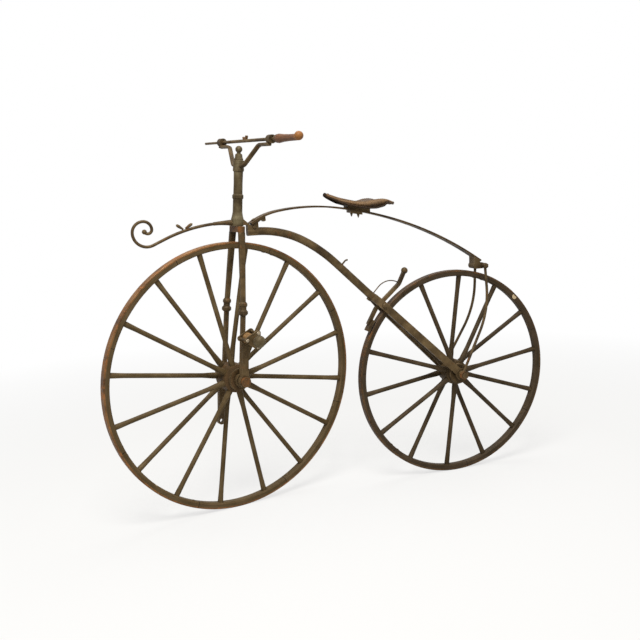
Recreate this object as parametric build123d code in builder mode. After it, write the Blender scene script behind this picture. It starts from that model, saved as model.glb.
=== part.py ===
"""Boneshaker velocipede with wooden wheels, iron tyres and a leaf-sprung saddle.

Millimetres.  The origin is the rider's place on the saddle, X points forward,
Y to the rider's left and Z up.  The front wheel is turned to the left.
"""
import os
from math import acos, asin, atan2, cos, degrees, hypot, radians, sin, sqrt, tan

from build123d import *

os.makedirs("parts", exist_ok=True)

# Clearances
RUN_FIT = 0.05
SEAT_FIT = 0.03
THRUST_GAP = 0.3
PIN_GAP = 0.5

# Layout
FRONT_R = 457.0
REAR_STEP = 79.0
REAR_R = FRONT_R - REAR_STEP
WHEEL_GAP = 9.0
WHEELBASE = FRONT_R + REAR_R + WHEEL_GAP
HEAD_CLEAR = 51.0
HEAD_UP = FRONT_R * 2 + HEAD_CLEAR
SEAT_RISE = 55.0
SEAT_SETBACK = 485.0
RAKE = 4.6
AXIS_SETBACK = 4.5
STEER_REST = 11.4
THROUGH = 120.0

# Wheels
FRONT_SPOKES = 16
REAR_SPOKES = 14
FRONT_SPOKE_TURN = 17.65
REAR_SPOKE_TURN = 20.4
TYRE_WIDTH = 28.0
TYRE_DEPTH = 6.0
TYRE_CHAMFER = 2.0
FELLOE_WIDTH = 27.0
FELLOE_DEPTH = 16.0
FELLOE_CHAMFER = 4.0
SPOKE_STAGGER = 24.0
SPOKE_FOOT_R = 10.5
SPOKE_WAIST_R = 8.0
SPOKE_TIP_R = 9.2
TENON = 14.0
RIM_TENON = 10.0
FRONT_NAVE_R = 50.0
FRONT_NAVE_HALF = 52.0
REAR_NAVE_R = 46.0
REAR_NAVE_HALF = 50.0
BARREL_DROP = 3.0
NAVE_END_R = 34.0
BAND_WIDTH = 11.0
BAND_DEPTH = 3.5
BAND_REVEAL = 0.5

# Axles, cranks and left pedal
FRONT_AXLE_R = 11.0
FRONT_EYE_IN = 58.0
FRONT_EYE_OUT = 72.0
FRONT_EYE_R = 23.0
CRANK_IN = 78.0
CRANK_THICK = 14.0
CRANK_LENGTH = 148.0
RIGHT_CRANK = 170.0
CRANK_BOSS_R = 20.0
CRANK_EYE_R = 14.0
CRANK_FOOT_HALF = 13.0
CRANK_TIP_HALF = 10.0
CRANK_LEAN = 0.6
AXLE_NUT_R = 17.0
AXLE_NUT_WIDTH = 9.0
AXLE_PROUD = 1.0
PEDAL_PIN_R = 7.0
PEDAL_COLLAR_R = 12.0
PEDAL_LENGTH = 44.0
PEDAL_GAP = 5.5
PEDAL_PLATE = 5.0
PEDAL_CORNERS = 3
PEDAL_TURN = 90.0
PEDAL_CORNER_R = 44.0
PEDAL_ROUND = 9.0
PEDAL_ROD_R = 4.5
PEDAL_ROD_RING = PEDAL_CORNER_R - PEDAL_ROUND * 2
PEDAL_ROLL_R = 19.0
PEDAL_ROLL_WAIST = 16.0
PEDAL_KNOB_R = 20.0
PEDAL_KNOB_FLAT = 14.0
PEDAL_KNOB_IN = 78.0
PIN_IN_KNOB = 8.0
REAR_AXLE_R = 10.0
REAR_EYE_IN = 56.0
REAR_EYE_OUT = 68.0
REAR_EYE_R = 21.0
REAR_NUT_R = 16.0
REAR_NUT_WIDTH = 12.0
REAR_AXLE_PROUD = 5.0

# Head, fork and handlebar
STEM_R = 10.0
STEM_TOP_R = 8.0
CROWN_GAP = 31.7
CROWN_DEPTH = 20.0
CROWN_WIDTH = 24.0
CROWN_SHOULDER = 10.0
SOCKET_BASE = FRONT_R + CROWN_GAP + CROWN_DEPTH + THRUST_GAP
HEAD_LENGTH = 188.0
SOCKET_TOP = SOCKET_BASE + HEAD_LENGTH
SOCKET_BASE_R = 21.0
SOCKET_TOP_R = 18.5
LEG_TOP_Y = 32.0
LEG_FOOT_Y = (FRONT_EYE_IN + FRONT_EYE_OUT) / 2
LEG_ROUND = 4.0
KNUCKLE_Y = 60.0
KNUCKLE_Z = 240.0
YOKE_BOSS = 16.0
YOKE_BOSS_R = 18.0
ARM_WIDTH = 15.0
ARM_THICK = 9.0
ARM_ROUND = 3.0
ARM_BEND = 26.0
ARM_START_Y = 36.0
ARM_START_UP = 0.5
ARM_RISE_Y = 104.0
ARM_UNDER_BAR = 16.5
BAR_R = 5.5
TANG_R = 4.2
BAR_RISE = 91.0
BAR_Z = SOCKET_TOP + BAR_RISE
BAR_SWEEP = 22.5
BAR_EYE_Y = 172.0
BAR_EYE_HALF = 11.0
BAR_EYE_R = 14.0
EYE_SLIT = 3.0
BAR_BARE_END = 300.0
HOOK_THICK = 8.0
GRIP_START = 212.0
GRIP_END = 356.0
GRIP_WALL_END = 25.0
GRIP_NECK_R = 10.0
BALL_R = 14.0
BALL_LIFT = 4.0
STEM_PROUD = 22.0
ACORN_R = 11.6
ACORN_NECK_R = 6.5
ACORN_UP = 46.0

# Backbone and rear fork
BACKBONE_R = 13.5
BACKBONE_DROP = 22.5
NECK_FACE = 78.0
LUG_HALF = 12.0
BEND_START = 115.0
BEND_1 = 335.0
BEND_1_TURN = 30.0
BEND_2 = 560.0
SPLIT_CLEAR = 63.0
SPLIT = REAR_R + SPLIT_CLEAR
NECK_LENGTH = 30.0
KNEE_CLEAR = 15.0
KNEE = REAR_R + KNEE_CLEAR
KNEE_Y = 27.0
SPLIT_Y = 3.0
FORK_BAR = 12.0
FORK_DEPTH = 27.0
FORK_ROUND = 5.0
FLAT_R = 80.0
PEG_BACK = 22.0
PEG_UP = 26.0
PEG_R = 3.0
PEG_BEND = 14.0
PEG_TURN = 50.0

# Front scroll
SCROLL_ROOT_R = 9.5
SCROLL_R = 5.0
SCROLL_START = (20.0, 11.5)
SCROLL_SLOPE = 2.2
SCROLL_SINK = 14.0
SCROLL_BEND = 500.0
SCROLL_TURN = 25.7
SCROLL_DROP = 42.5
SCROLL_EYE_R = 8.0

# Saddle, spring and stays
SPRING_THICK = 6.0
SPRING_WIDTH = 40.0
SPRING_START = (90.0, 5.0)
SPRING_RISE = 33.0
SPRING_BEND_1 = 242.0
SPRING_TURN_1 = 24.0
SPRING_BEND_2 = 700.0
SPRING_TURN_2 = 17.0
SPRING_OVER_CROSS = 18.0
SPRING_BEFORE_CROSS = 6.0
POST_HALF = 12.0
STAY_R = 5.0
STAY_BACK = 123.0
STAY_RISE = 388.0
STAY_TOP_Y = 35.0
STAY_BOW = 3.0
STAY_BEND = 330.0
STAY_ANGLE = 61.0
STAY_EYE = 11.5
STAY_EYE_R = 15.0
STAY_TOP_WALL = 3.0
CROSSBAR_R = 7.0
CROSSBAR_PROUD = 6.0
SHACKLE_LENGTH = 46.0
SHACKLE_DEPTH = 22.0
SHACKLE_ROUND = 10.0
LEATHER = 10.0
BLOCK_HALF = 18.0
BLOCK_FRONT_UP = 8.5
BLOCK_BACK_UP = 0.0
CLAMP_DEPTH = 12.0
CLAMP_BOLT_R = 7.0
CLAMP_TIP_R = 1.5
CLAMP_TIP = 24.0

# Places along the spring, as shares of its first and last bend
POST_SPAN = (0.06, 0.56)
BLOCK_SPAN = (0.075, 0.215)
CLAMP_SPAN = (0.092, 0.166)
CLAMP_BOLTS = (0.11, 0.152)
SHACKLE_SPAN = (0.945, 0.99)

# Brake
PIVOT_CLEAR = 21.0
PIVOT = REAR_R + PIVOT_CLEAR
PIVOT_R = 5.0
PIVOT_HALF = 40.0
LEVER_WIDTH = 13.0
LEVER_HALF = 6.0
LEVER_BOSS_R = 12.0
LEVER_BEND = 40.0
SHOE_GAP = 6.0
SHOE_DEPTH = 11.0
SHOE_DROP = 9.0
SHOE_ARC = 6.5
WIRE_R = 2.0
WIRE_AHEAD = 6.0
WIRE_FOOT = SPLIT + WIRE_AHEAD
WIRE_UP = 41.0
WIRE_BEND = 63.0
WIRE_TURN = 78.0
WIRE_NUT_R = 8.0
WIRE_NUT_DEPTH = 5.0

SEAT_HEIGHT = HEAD_UP + SEAT_RISE
GROUND_Z = -SEAT_HEIGHT
FRONT_AXLE = Vector(SEAT_SETBACK, 0, GROUND_Z + FRONT_R)
REAR_AXLE = Vector(SEAT_SETBACK - WHEELBASE, 0, GROUND_Z + REAR_R)
SIDES = (("left", 1), ("right", -1))


def side(back, over):
    """Side-view point from its distance behind the front axle and its height over the head's foot."""
    return (SEAT_SETBACK - back, over - SEAT_RISE)


def placed(base, local):
    """Plane given in the axes of another plane."""
    return Plane(base.location * local.location)


def turning(hub):
    """Plane whose x is radial and whose y runs along the z axis of a hub plane."""
    return Plane(origin=hub.origin, x_dir=hub.x_dir, z_dir=-hub.y_dir)


def spin(hub):
    """Axis of a hub plane."""
    return Axis(hub.origin, hub.z_dir)


def across(line):
    """Plane square to a path at its start."""
    return Plane(origin=line @ 0, z_dir=line % 0)


# Steering axis: z runs up the head, x forward, y to the left
HEAD = Plane(
    origin=(FRONT_AXLE.X - AXIS_SETBACK, 0, FRONT_AXLE.Z),
    x_dir=(cos(radians(RAKE)), 0, sin(radians(RAKE))),
    z_dir=(-sin(radians(RAKE)), 0, cos(radians(RAKE))),
)
STEER = Plane(HEAD.location * Location((0, 0, 0), (0, 0, STEER_REST)))
AXLE_X = AXIS_SETBACK * cos(radians(RAKE))
AXLE_Z = -AXIS_SETBACK * sin(radians(RAKE))

# Hub planes: z along the axle to the rider's left, x up
FRONT_HUB = placed(STEER, Plane(origin=(AXLE_X, 0, AXLE_Z), x_dir=(0, 0, 1), z_dir=(0, 1, 0)))
REAR_HUB = Plane(origin=REAR_AXLE, x_dir=(0, 0, 1), z_dir=(0, 1, 0))

# Wheel name, hub plane, tyre radius, spokes, first spoke forward of up, nave radius, nave half, bore
WHEELS = (
    ("front", FRONT_HUB, FRONT_R, FRONT_SPOKES, FRONT_SPOKE_TURN,
     FRONT_NAVE_R, FRONT_NAVE_HALF, FRONT_AXLE_R),
    ("rear", REAR_HUB, REAR_R, REAR_SPOKES, REAR_SPOKE_TURN,
     REAR_NAVE_R, REAR_NAVE_HALF, REAR_AXLE_R + RUN_FIT),
)

for name, hub, tyre_r, count, phase, nave_r, nave_half, bore_r in WHEELS:
    felloe_r = tyre_r - TYRE_DEPTH
    rim_r = felloe_r - FELLOE_DEPTH

    # Spoke planes: origin at the mortise floor, z out along the spoke
    spoke_planes = []
    spoke_length = 0.0
    for i in range(count):
        turn = radians(phase + 360.0 * i / count)
        radial = hub.x_dir * cos(turn) + hub.y_dir * sin(turn)
        offset = SPOKE_STAGGER if i % 2 == 0 else -SPOKE_STAGGER
        foot = hub.origin + radial * (nave_r - TENON) + hub.z_dir * offset
        tip = hub.origin + radial * (rim_r + RIM_TENON)
        along = tip - foot
        spoke_length = along.length
        spoke_planes.append(Plane(origin=foot, x_dir=hub.z_dir.cross(along), z_dir=along))

    with BuildPart() as tyre:
        with BuildSketch(turning(hub)) as band:
            with Locations((tyre_r - TYRE_DEPTH / 2, 0)):
                Rectangle(TYRE_DEPTH, TYRE_WIDTH)
            chamfer(band.vertices().group_by(Axis.X)[-1], TYRE_CHAMFER)
        revolve(axis=spin(hub))
    tyre.part.label = name + "_tyre"
    export_step(tyre.part, "parts/" + name + "_tyre.step")

    with BuildPart() as felloe:
        with BuildSketch(turning(hub)) as wood:
            with Locations((felloe_r - FELLOE_DEPTH / 2, 0)):
                Rectangle(FELLOE_DEPTH, FELLOE_WIDTH)
            chamfer(wood.vertices().group_by(Axis.X)[0], FELLOE_CHAMFER)
        revolve(axis=spin(hub))
        with BuildSketch(*[plane.offset(spoke_length - RIM_TENON * 2) for plane in spoke_planes]):
            Circle(SPOKE_TIP_R + SEAT_FIT)
        extrude(amount=RIM_TENON * 2 + SEAT_FIT, mode=Mode.SUBTRACT)
    felloe.part.label = name + "_felloe"
    export_step(felloe.part, "parts/" + name + "_felloe.step")

    with BuildPart() as spokes:
        for plane in spoke_planes:
            with BuildSketch(turning(plane)):
                Polygon(
                    (0, 0),
                    (SPOKE_FOOT_R, 0),
                    (SPOKE_FOOT_R, TENON * 2),
                    (SPOKE_WAIST_R, TENON * 5),
                    (SPOKE_WAIST_R, spoke_length - RIM_TENON * 6),
                    (SPOKE_TIP_R, spoke_length - RIM_TENON * 2),
                    (SPOKE_TIP_R, spoke_length),
                    (0, spoke_length),
                    align=None,
                )
            revolve(axis=spin(plane))
    spokes.part.label = name + "_spokes"
    export_step(spokes.part, "parts/" + name + "_spokes.step")

    shoulder = SPOKE_STAGGER + SPOKE_FOOT_R
    shoulder_r = nave_r - BARREL_DROP
    with BuildPart() as nave:
        with BuildSketch(turning(hub)):
            with BuildLine():
                Polyline(
                    (shoulder_r, shoulder),
                    (NAVE_END_R, nave_half - BAND_WIDTH),
                    (NAVE_END_R, nave_half),
                    (bore_r, nave_half),
                    (bore_r, -nave_half),
                    (NAVE_END_R, -nave_half),
                    (NAVE_END_R, BAND_WIDTH - nave_half),
                    (shoulder_r, -shoulder),
                )
                ThreePointArc((shoulder_r, -shoulder), (nave_r, 0), (shoulder_r, shoulder))
            make_face()
        revolve(axis=spin(hub))
        with BuildSketch(*spoke_planes):
            Circle(SPOKE_FOOT_R + SEAT_FIT)
        extrude(amount=TENON * 2, mode=Mode.SUBTRACT)
    nave.part.label = name + "_nave"
    export_step(nave.part, "parts/" + name + "_nave.step")

    with BuildPart() as bands:
        with BuildSketch(turning(hub)):
            for end in (-1, 1):
                band_r = NAVE_END_R + SEAT_FIT + BAND_DEPTH / 2
                with Locations((band_r, end * (nave_half - BAND_WIDTH / 2))):
                    Rectangle(BAND_DEPTH, BAND_WIDTH - BAND_REVEAL * 2)
        revolve(axis=spin(hub))
    bands.part.label = name + "_nave_bands"
    export_step(bands.part, "parts/" + name + "_nave_bands.step")

# Head socket turning: height over its foot, radius
HEAD_TURNING = (
    (0.0, SOCKET_BASE_R),
    (22.0, SOCKET_BASE_R),
    (34.0, 18.0),
    (46.0, 16.2),
    (88.0, 15.8),
    (91.0, 18.5),
    (101.0, 18.5),
    (105.0, 15.2),
    (141.0, 14.8),
    (HEAD_LENGTH - 10.0, 15.6),
    (HEAD_LENGTH - 8.0, SOCKET_TOP_R),
    (HEAD_LENGTH, SOCKET_TOP_R),
)
with BuildPart() as head_socket:
    with BuildSketch(turning(HEAD)):
        Polygon(
            (STEM_R + RUN_FIT, SOCKET_BASE),
            *[(radius, SOCKET_BASE + height) for height, radius in HEAD_TURNING],
            (STEM_R + RUN_FIT, SOCKET_TOP),
            align=None,
        )
    revolve(axis=spin(HEAD))
head_socket.part.label = "head_socket"
export_step(head_socket.part, "parts/head_socket.step")

# Backbone: level from the head lug, two bends, then straight at the rear axle
turn_1 = radians(BEND_1_TURN)
bend_back = BEND_START + (BEND_1 - BEND_2) * sin(turn_1)
bend_over = -BACKBONE_DROP - BEND_1 + (BEND_1 - BEND_2) * cos(turn_1)
axle_run = WHEELBASE - bend_back
axle_fall = REAR_R - HEAD_UP - bend_over
axle_reach = hypot(axle_run, axle_fall)
slope = asin(BEND_2 / axle_reach) - atan2(axle_fall, axle_run)
leg_run = sqrt(axle_reach**2 - BEND_2**2)
neck_top = SPLIT + NECK_LENGTH

# Rear fork planes: x up along the legs from the axle; y to the left, or square to the legs
LEG = Plane(origin=REAR_AXLE, x_dir=(cos(slope), 0, sin(slope)), z_dir=(-sin(slope), 0, cos(slope)))
LEVER = Plane(origin=REAR_AXLE, x_dir=LEG.x_dir, z_dir=(0, -1, 0))

with BuildPart() as backbone:
    with BuildLine(Plane.XZ) as spine:
        start = Line(side(NECK_FACE, -BACKBONE_DROP), side(BEND_START, -BACKBONE_DROP))
        first = JernArc(start @ 1, start % 1, BEND_1, BEND_1_TURN)
        second = JernArc(first @ 1, first % 1, BEND_2, degrees(slope) - BEND_1_TURN)
        Line(second @ 1, second @ 1 + (second % 1) * (leg_run - neck_top))
    with BuildSketch(across(spine.line)):
        Circle(BACKBONE_R)
    sweep()
    with BuildSketch(placed(LEG, Plane(origin=(neck_top, 0, 0), x_dir=(0, 1, 0), z_dir=(-1, 0, 0)))):
        Circle(BACKBONE_R)
    with BuildSketch(placed(LEG, Plane(origin=(SPLIT, 0, 0), x_dir=(0, 1, 0), z_dir=(-1, 0, 0)))):
        RectangleRounded((SPLIT_Y + FORK_BAR) * 2, FORK_DEPTH, FORK_ROUND)
    loft()
    with BuildSketch(Plane.XZ):
        Polygon(
            side(50, 23),
            side(50, 1),
            side(NECK_FACE, 1),
            side(NECK_FACE, -33),
            side(112, -33),
            side(122, -12),
            side(96, -8),
            side(86, 2),
            side(66, 20),
            align=None,
        )
    extrude(amount=LUG_HALF, both=True)
    with BuildSketch(HEAD.offset(SOCKET_BASE - THROUGH / 2)):
        Circle(SOCKET_BASE_R)
    extrude(amount=THROUGH, mode=Mode.SUBTRACT)
backbone.part.label = "backbone"
export_step(backbone.part, "parts/backbone.step")

half_bar = FORK_BAR / 2
eye_mid = (REAR_EYE_IN + REAR_EYE_OUT) / 2
for name, hand in SIDES:
    with BuildPart() as fork_bar:
        with BuildSketch(LEG):
            Polygon(
                (SPLIT, hand * SPLIT_Y),
                (SPLIT, hand * (SPLIT_Y + FORK_BAR)),
                (KNEE, hand * (KNEE_Y + half_bar)),
                (0, hand * (eye_mid + half_bar)),
                (0, hand * (eye_mid - half_bar)),
                (KNEE, hand * (KNEE_Y - half_bar)),
                align=None,
            )
        extrude(amount=FORK_DEPTH / 2, both=True)
        with BuildSketch(REAR_HUB.offset(hand * REAR_EYE_IN)):
            Circle(REAR_EYE_R)
        extrude(amount=hand * (REAR_EYE_OUT - REAR_EYE_IN))
        with BuildSketch(REAR_HUB):
            Circle(REAR_AXLE_R + SEAT_FIT)
        extrude(amount=hand * THROUGH, mode=Mode.SUBTRACT)
        with BuildSketch(REAR_HUB.offset(hand * REAR_EYE_OUT)):
            Circle(FLAT_R)
        extrude(amount=hand * FORK_BAR, mode=Mode.SUBTRACT)
        with BuildSketch(REAR_HUB.offset(hand * REAR_EYE_IN)):
            Circle(FLAT_R)
        extrude(amount=-hand * FORK_BAR, mode=Mode.SUBTRACT)
        with BuildSketch(LEVER):
            with Locations((PIVOT, 0)):
                Circle(PIVOT_R + SEAT_FIT)
        extrude(amount=THROUGH, both=True, mode=Mode.SUBTRACT)
    fork_bar.part.label = "rear_fork_" + name
    export_step(fork_bar.part, "parts/rear_fork_" + name + ".step")

# Peg for the brake cord on the backbone
with BuildPart() as cord_peg:
    with BuildLine(LEVER) as peg:
        peg_foot = Line((leg_run - PEG_BACK, 0), (leg_run - PEG_BACK, PEG_UP))
        JernArc(peg_foot @ 1, peg_foot % 1, PEG_BEND, PEG_TURN)
    with BuildSketch(across(peg.line)):
        Circle(PEG_R)
    sweep()
    add(backbone.part, mode=Mode.SUBTRACT)
cord_peg.part.label = "cord_peg"
export_step(cord_peg.part, "parts/cord_peg.step")

# Front scroll, a leg rest ending in a volute: radius and turn of each bend of the volute
VOLUTE = ((46.0, 113.5), (36.0, 90.0), (27.0, 90.0), (13.0, 150.0))
# Root of the rest: distance along it, radius
SCROLL_ROOT = ((0.0, SCROLL_ROOT_R), (25.0, 7.2), (55.0, 5.8))
# Leaves on the rest: foot and tip, each behind the front axle and over the head's foot
LEAVES = (((-138.8, 0.3), (-160.0, 15.5)), ((-127.1, 2.8), (-104.5, 16.5)))
# Leaf turning: part of its length, radius
LEAF_TURNING = ((-0.1, 3.0), (0.25, 4.2), (0.6, 5.4), (0.85, 4.4))
scroll_slope = radians(SCROLL_SLOPE)
with BuildPart() as front_scroll:
    with BuildLine(Plane.XZ) as rest:
        lead = JernArc(
            side(*SCROLL_START), (cos(scroll_slope), sin(scroll_slope)), SCROLL_BEND, -SCROLL_TURN
        )
        bend = Line(lead @ 1, lead @ 1 + (lead % 1) * SCROLL_DROP)
        for radius, turn in VOLUTE:
            bend = JernArc(bend @ 1, bend % 1, radius, turn)
    with BuildSketch(across(rest.line)):
        Circle(SCROLL_R)
    sweep()
    for distance, radius in SCROLL_ROOT:
        part_way = distance / lead.length
        with BuildSketch(Plane(origin=lead @ part_way, z_dir=lead % part_way)):
            Circle(radius)
    loft()
    with BuildSketch(across(rest.line)):
        Circle(SCROLL_ROOT_R)
    extrude(amount=-SCROLL_SINK)
    with Locations(Plane(origin=rest.line @ 1, z_dir=(0, 1, 0)).location):
        Sphere(SCROLL_EYE_R)
    for leaf_foot, leaf_tip in LEAVES:
        foot_x, foot_z = side(*leaf_foot)
        tip_x, tip_z = side(*leaf_tip)
        leaf_way = Vector(tip_x - foot_x, 0, tip_z - foot_z)
        leaf_plane = Plane(origin=(foot_x, 0, foot_z), x_dir=(0, 1, 0), z_dir=leaf_way)
        with BuildSketch(turning(leaf_plane)):
            Polygon(
                (0, leaf_way.length * LEAF_TURNING[0][0]),
                *[(radius, leaf_way.length * share) for share, radius in LEAF_TURNING],
                (0, leaf_way.length),
                align=None,
            )
        revolve(axis=spin(leaf_plane))
    with BuildSketch(HEAD.offset(SOCKET_BASE - THROUGH / 2)):
        Circle(SOCKET_BASE_R)
    extrude(amount=THROUGH, mode=Mode.SUBTRACT)
front_scroll.part.label = "front_scroll"
export_step(front_scroll.part, "parts/front_scroll.step")

# Saddle spring, one leaf from the head to the crossbar of the stays
rise = radians(SPRING_RISE)
CROSS = Vector(REAR_AXLE.X - STAY_BACK, 0, REAR_AXLE.Z + STAY_RISE)
CROSS_PLANE = Plane(origin=CROSS, x_dir=(1, 0, 0), z_dir=(0, 1, 0))
spring_tip = (CROSS.X + SPRING_BEFORE_CROSS, CROSS.Z + SPRING_OVER_CROSS)
with BuildPart() as saddle_spring:
    with BuildSketch(Plane.XZ):
        with BuildLine():
            s1 = JernArc(side(*SPRING_START), (-cos(rise), sin(rise)), SPRING_BEND_1, SPRING_TURN_1)
            s2 = JernArc(s1 @ 1, s1 % 1, SPRING_BEND_2, SPRING_TURN_2)
            s3 = TangentArc(s2 @ 1, spring_tip, tangent=s2 % 1)
        trace(line_width=SPRING_THICK)
    extrude(amount=SPRING_WIDTH / 2, both=True)
saddle_spring.part.label = "saddle_spring"
export_step(saddle_spring.part, "parts/saddle_spring.step")

# Post that carries the front of the spring, with a hooked clip behind it
post_front = s1 @ POST_SPAN[0]
post_back = s1 @ POST_SPAN[1]
with BuildPart() as spring_post:
    with BuildSketch(Plane.XZ):
        Polygon(
            side(88, -14),
            (post_front.X, post_front.Y),
            (post_back.X, post_back.Y),
            side(142, 12),
            side(135, 9),
            side(128, 16),
            side(115, 7),
            side(116, -14),
            align=None,
        )
    extrude(amount=POST_HALF, both=True)
    add(saddle_spring.part, mode=Mode.SUBTRACT)
    add(backbone.part, mode=Mode.SUBTRACT)
spring_post.part.label = "spring_post"
export_step(spring_post.part, "parts/spring_post.step")

with BuildPart() as rear_crossbar:
    with BuildSketch(CROSS_PLANE):
        Circle(CROSSBAR_R)
    extrude(amount=STAY_TOP_Y + CROSSBAR_PROUD, both=True)
rear_crossbar.part.label = "rear_crossbar"
export_step(rear_crossbar.part, "parts/rear_crossbar.step")

# Shackle block between the tail of the spring and the crossbar
shackle_front = s3 @ SHACKLE_SPAN[0]
shackle_back = s3 @ SHACKLE_SPAN[1]
with BuildPart() as rear_shackle:
    with BuildSketch(Plane.XZ):
        with Locations((CROSS.X + SHACKLE_LENGTH / 3, CROSS.Z)):
            RectangleRounded(SHACKLE_LENGTH, SHACKLE_DEPTH, SHACKLE_ROUND)
        Polygon(
            (shackle_back.X, shackle_back.Y),
            (shackle_front.X, shackle_front.Y),
            (shackle_front.X, CROSS.Z),
            (shackle_back.X, CROSS.Z),
            align=None,
        )
    extrude(amount=SPRING_WIDTH / 2, both=True)
    add(saddle_spring.part, mode=Mode.SUBTRACT)
    with BuildSketch(CROSS_PLANE):
        Circle(CROSSBAR_R + SEAT_FIT)
    extrude(amount=THROUGH, both=True, mode=Mode.SUBTRACT)
rear_shackle.part.label = "rear_shackle"
export_step(rear_shackle.part, "parts/rear_shackle.step")

# Stays from the rear axle up to the crossbar
for name, hand in SIDES:
    foot = Vector(REAR_AXLE.X, hand * (REAR_EYE_OUT + STAY_EYE - STAY_R), REAR_AXLE.Z)
    top = Vector(CROSS.X, hand * STAY_TOP_Y, CROSS.Z)
    lean = Vector(0, top.Y - foot.Y, top.Z - foot.Z)
    stay_plane = Plane(origin=foot, x_dir=(1, 0, 0), z_dir=Vector(1, 0, 0).cross(lean))
    bow = STAY_BACK + STAY_BOW
    with BuildPart() as stay:
        with BuildLine(stay_plane) as rod:
            FilletPolyline(
                (0, 0),
                (-bow, bow * tan(radians(STAY_ANGLE))),
                (-STAY_BACK, lean.length),
                radius=STAY_BEND,
            )
        with BuildSketch(across(rod.line)):
            Circle(STAY_R)
        sweep()
        with BuildSketch(REAR_HUB.offset(hand * REAR_EYE_OUT)):
            Circle(STAY_EYE_R)
        extrude(amount=hand * STAY_EYE)
        with BuildSketch(Plane(origin=top, x_dir=(1, 0, 0), z_dir=(0, 1, 0))):
            Circle(CROSSBAR_R + STAY_TOP_WALL)
        extrude(amount=STAY_R, both=True)
        with BuildSketch(REAR_HUB):
            Circle(REAR_AXLE_R + SEAT_FIT)
        extrude(amount=hand * THROUGH, mode=Mode.SUBTRACT)
        with BuildSketch(CROSS_PLANE):
            Circle(CROSSBAR_R + SEAT_FIT)
        extrude(amount=THROUGH, both=True, mode=Mode.SUBTRACT)
    stay.part.label = "rear_stay_" + name
    export_step(stay.part, "parts/rear_stay_" + name + ".step")

rear_nut_in = REAR_EYE_OUT + STAY_EYE
with BuildPart() as rear_axle:
    with BuildSketch(REAR_HUB):
        Circle(REAR_AXLE_R)
    extrude(amount=rear_nut_in + REAR_NUT_WIDTH + REAR_AXLE_PROUD, both=True)
rear_axle.part.label = "rear_axle"
export_step(rear_axle.part, "parts/rear_axle.step")

with BuildPart() as rear_nuts:
    for name, hand in SIDES:
        with BuildSketch(REAR_HUB.offset(hand * rear_nut_in)):
            RegularPolygon(REAR_NUT_R, 6)
            Circle(REAR_AXLE_R + SEAT_FIT, mode=Mode.SUBTRACT)
        extrude(amount=hand * REAR_NUT_WIDTH)
rear_nuts.part.label = "rear_axle_nuts"
export_step(rear_nuts.part, "parts/rear_axle_nuts.step")

# Brake lever between the legs of the rear fork: distance up from its pivot and out from the legs
LEVER_LINE = ((8.0, 150.0), (-7.0, 100.0), (2.0, 5.0), (4.0, -22.0), (-11.5, -84.0))
with BuildPart() as brake_lever:
    with BuildSketch(LEVER):
        with BuildLine():
            FilletPolyline(*[(PIVOT + up, out) for up, out in LEVER_LINE], radius=LEVER_BEND)
        trace(line_width=LEVER_WIDTH)
        with Locations((PIVOT, 0)):
            Circle(LEVER_BOSS_R)
    extrude(amount=LEVER_HALF, both=True)
    with Locations(placed(LEVER, Plane(origin=(PIVOT + LEVER_LINE[0][0], LEVER_LINE[0][1], 0))).location):
        Sphere(LEVER_BOSS_R)
    with BuildSketch(LEVER):
        with Locations((PIVOT, 0)):
            Circle(PIVOT_R + SEAT_FIT)
    extrude(amount=THROUGH, both=True, mode=Mode.SUBTRACT)
brake_lever.part.label = "brake_lever"
export_step(brake_lever.part, "parts/brake_lever.step")

with BuildPart() as brake_pivot:
    with BuildSketch(LEVER):
        with Locations((PIVOT, 0)):
            Circle(PIVOT_R)
    extrude(amount=PIVOT_HALF, both=True)
brake_pivot.part.label = "brake_pivot"
export_step(brake_pivot.part, "parts/brake_pivot.step")

# Brake shoe on the foot of the lever, before the rear tyre
shoe_turn = slope - radians(SHOE_DROP)
SHOE_HUB = Plane(origin=REAR_AXLE, x_dir=(cos(shoe_turn), 0, sin(shoe_turn)), z_dir=(0, 1, 0))
with BuildPart() as brake_shoe:
    with BuildSketch(turning(SHOE_HUB)):
        with Locations((REAR_R + SHOE_GAP + SHOE_DEPTH / 2, 0)):
            Rectangle(SHOE_DEPTH, TYRE_WIDTH)
    revolve(axis=spin(SHOE_HUB), revolution_arc=SHOE_ARC)
    add(brake_lever.part, mode=Mode.SUBTRACT)
brake_shoe.part.label = "brake_shoe"
export_step(brake_shoe.part, "parts/brake_shoe.step")

# Return wire from the backbone to the lever, with its nut under the backbone
with BuildPart() as brake_wire:
    with BuildLine(LEVER) as wire:
        wire_foot = Line((WIRE_FOOT, 0), (WIRE_FOOT, WIRE_UP))
        JernArc(wire_foot @ 1, wire_foot % 1, WIRE_BEND, WIRE_TURN)
    with BuildSketch(across(wire.line)):
        Circle(WIRE_R)
    sweep()
    with BuildSketch(placed(LEG, Plane(origin=(WIRE_FOOT, 0, -FORK_DEPTH / 2 - WIRE_NUT_DEPTH)))):
        RegularPolygon(WIRE_NUT_R, 6)
    extrude(amount=WIRE_NUT_DEPTH + WIRE_R)
    add(backbone.part, mode=Mode.SUBTRACT)
    add(brake_lever.part, mode=Mode.SUBTRACT)
brake_wire.part.label = "brake_wire"
export_step(brake_wire.part, "parts/brake_wire.step")

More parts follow.
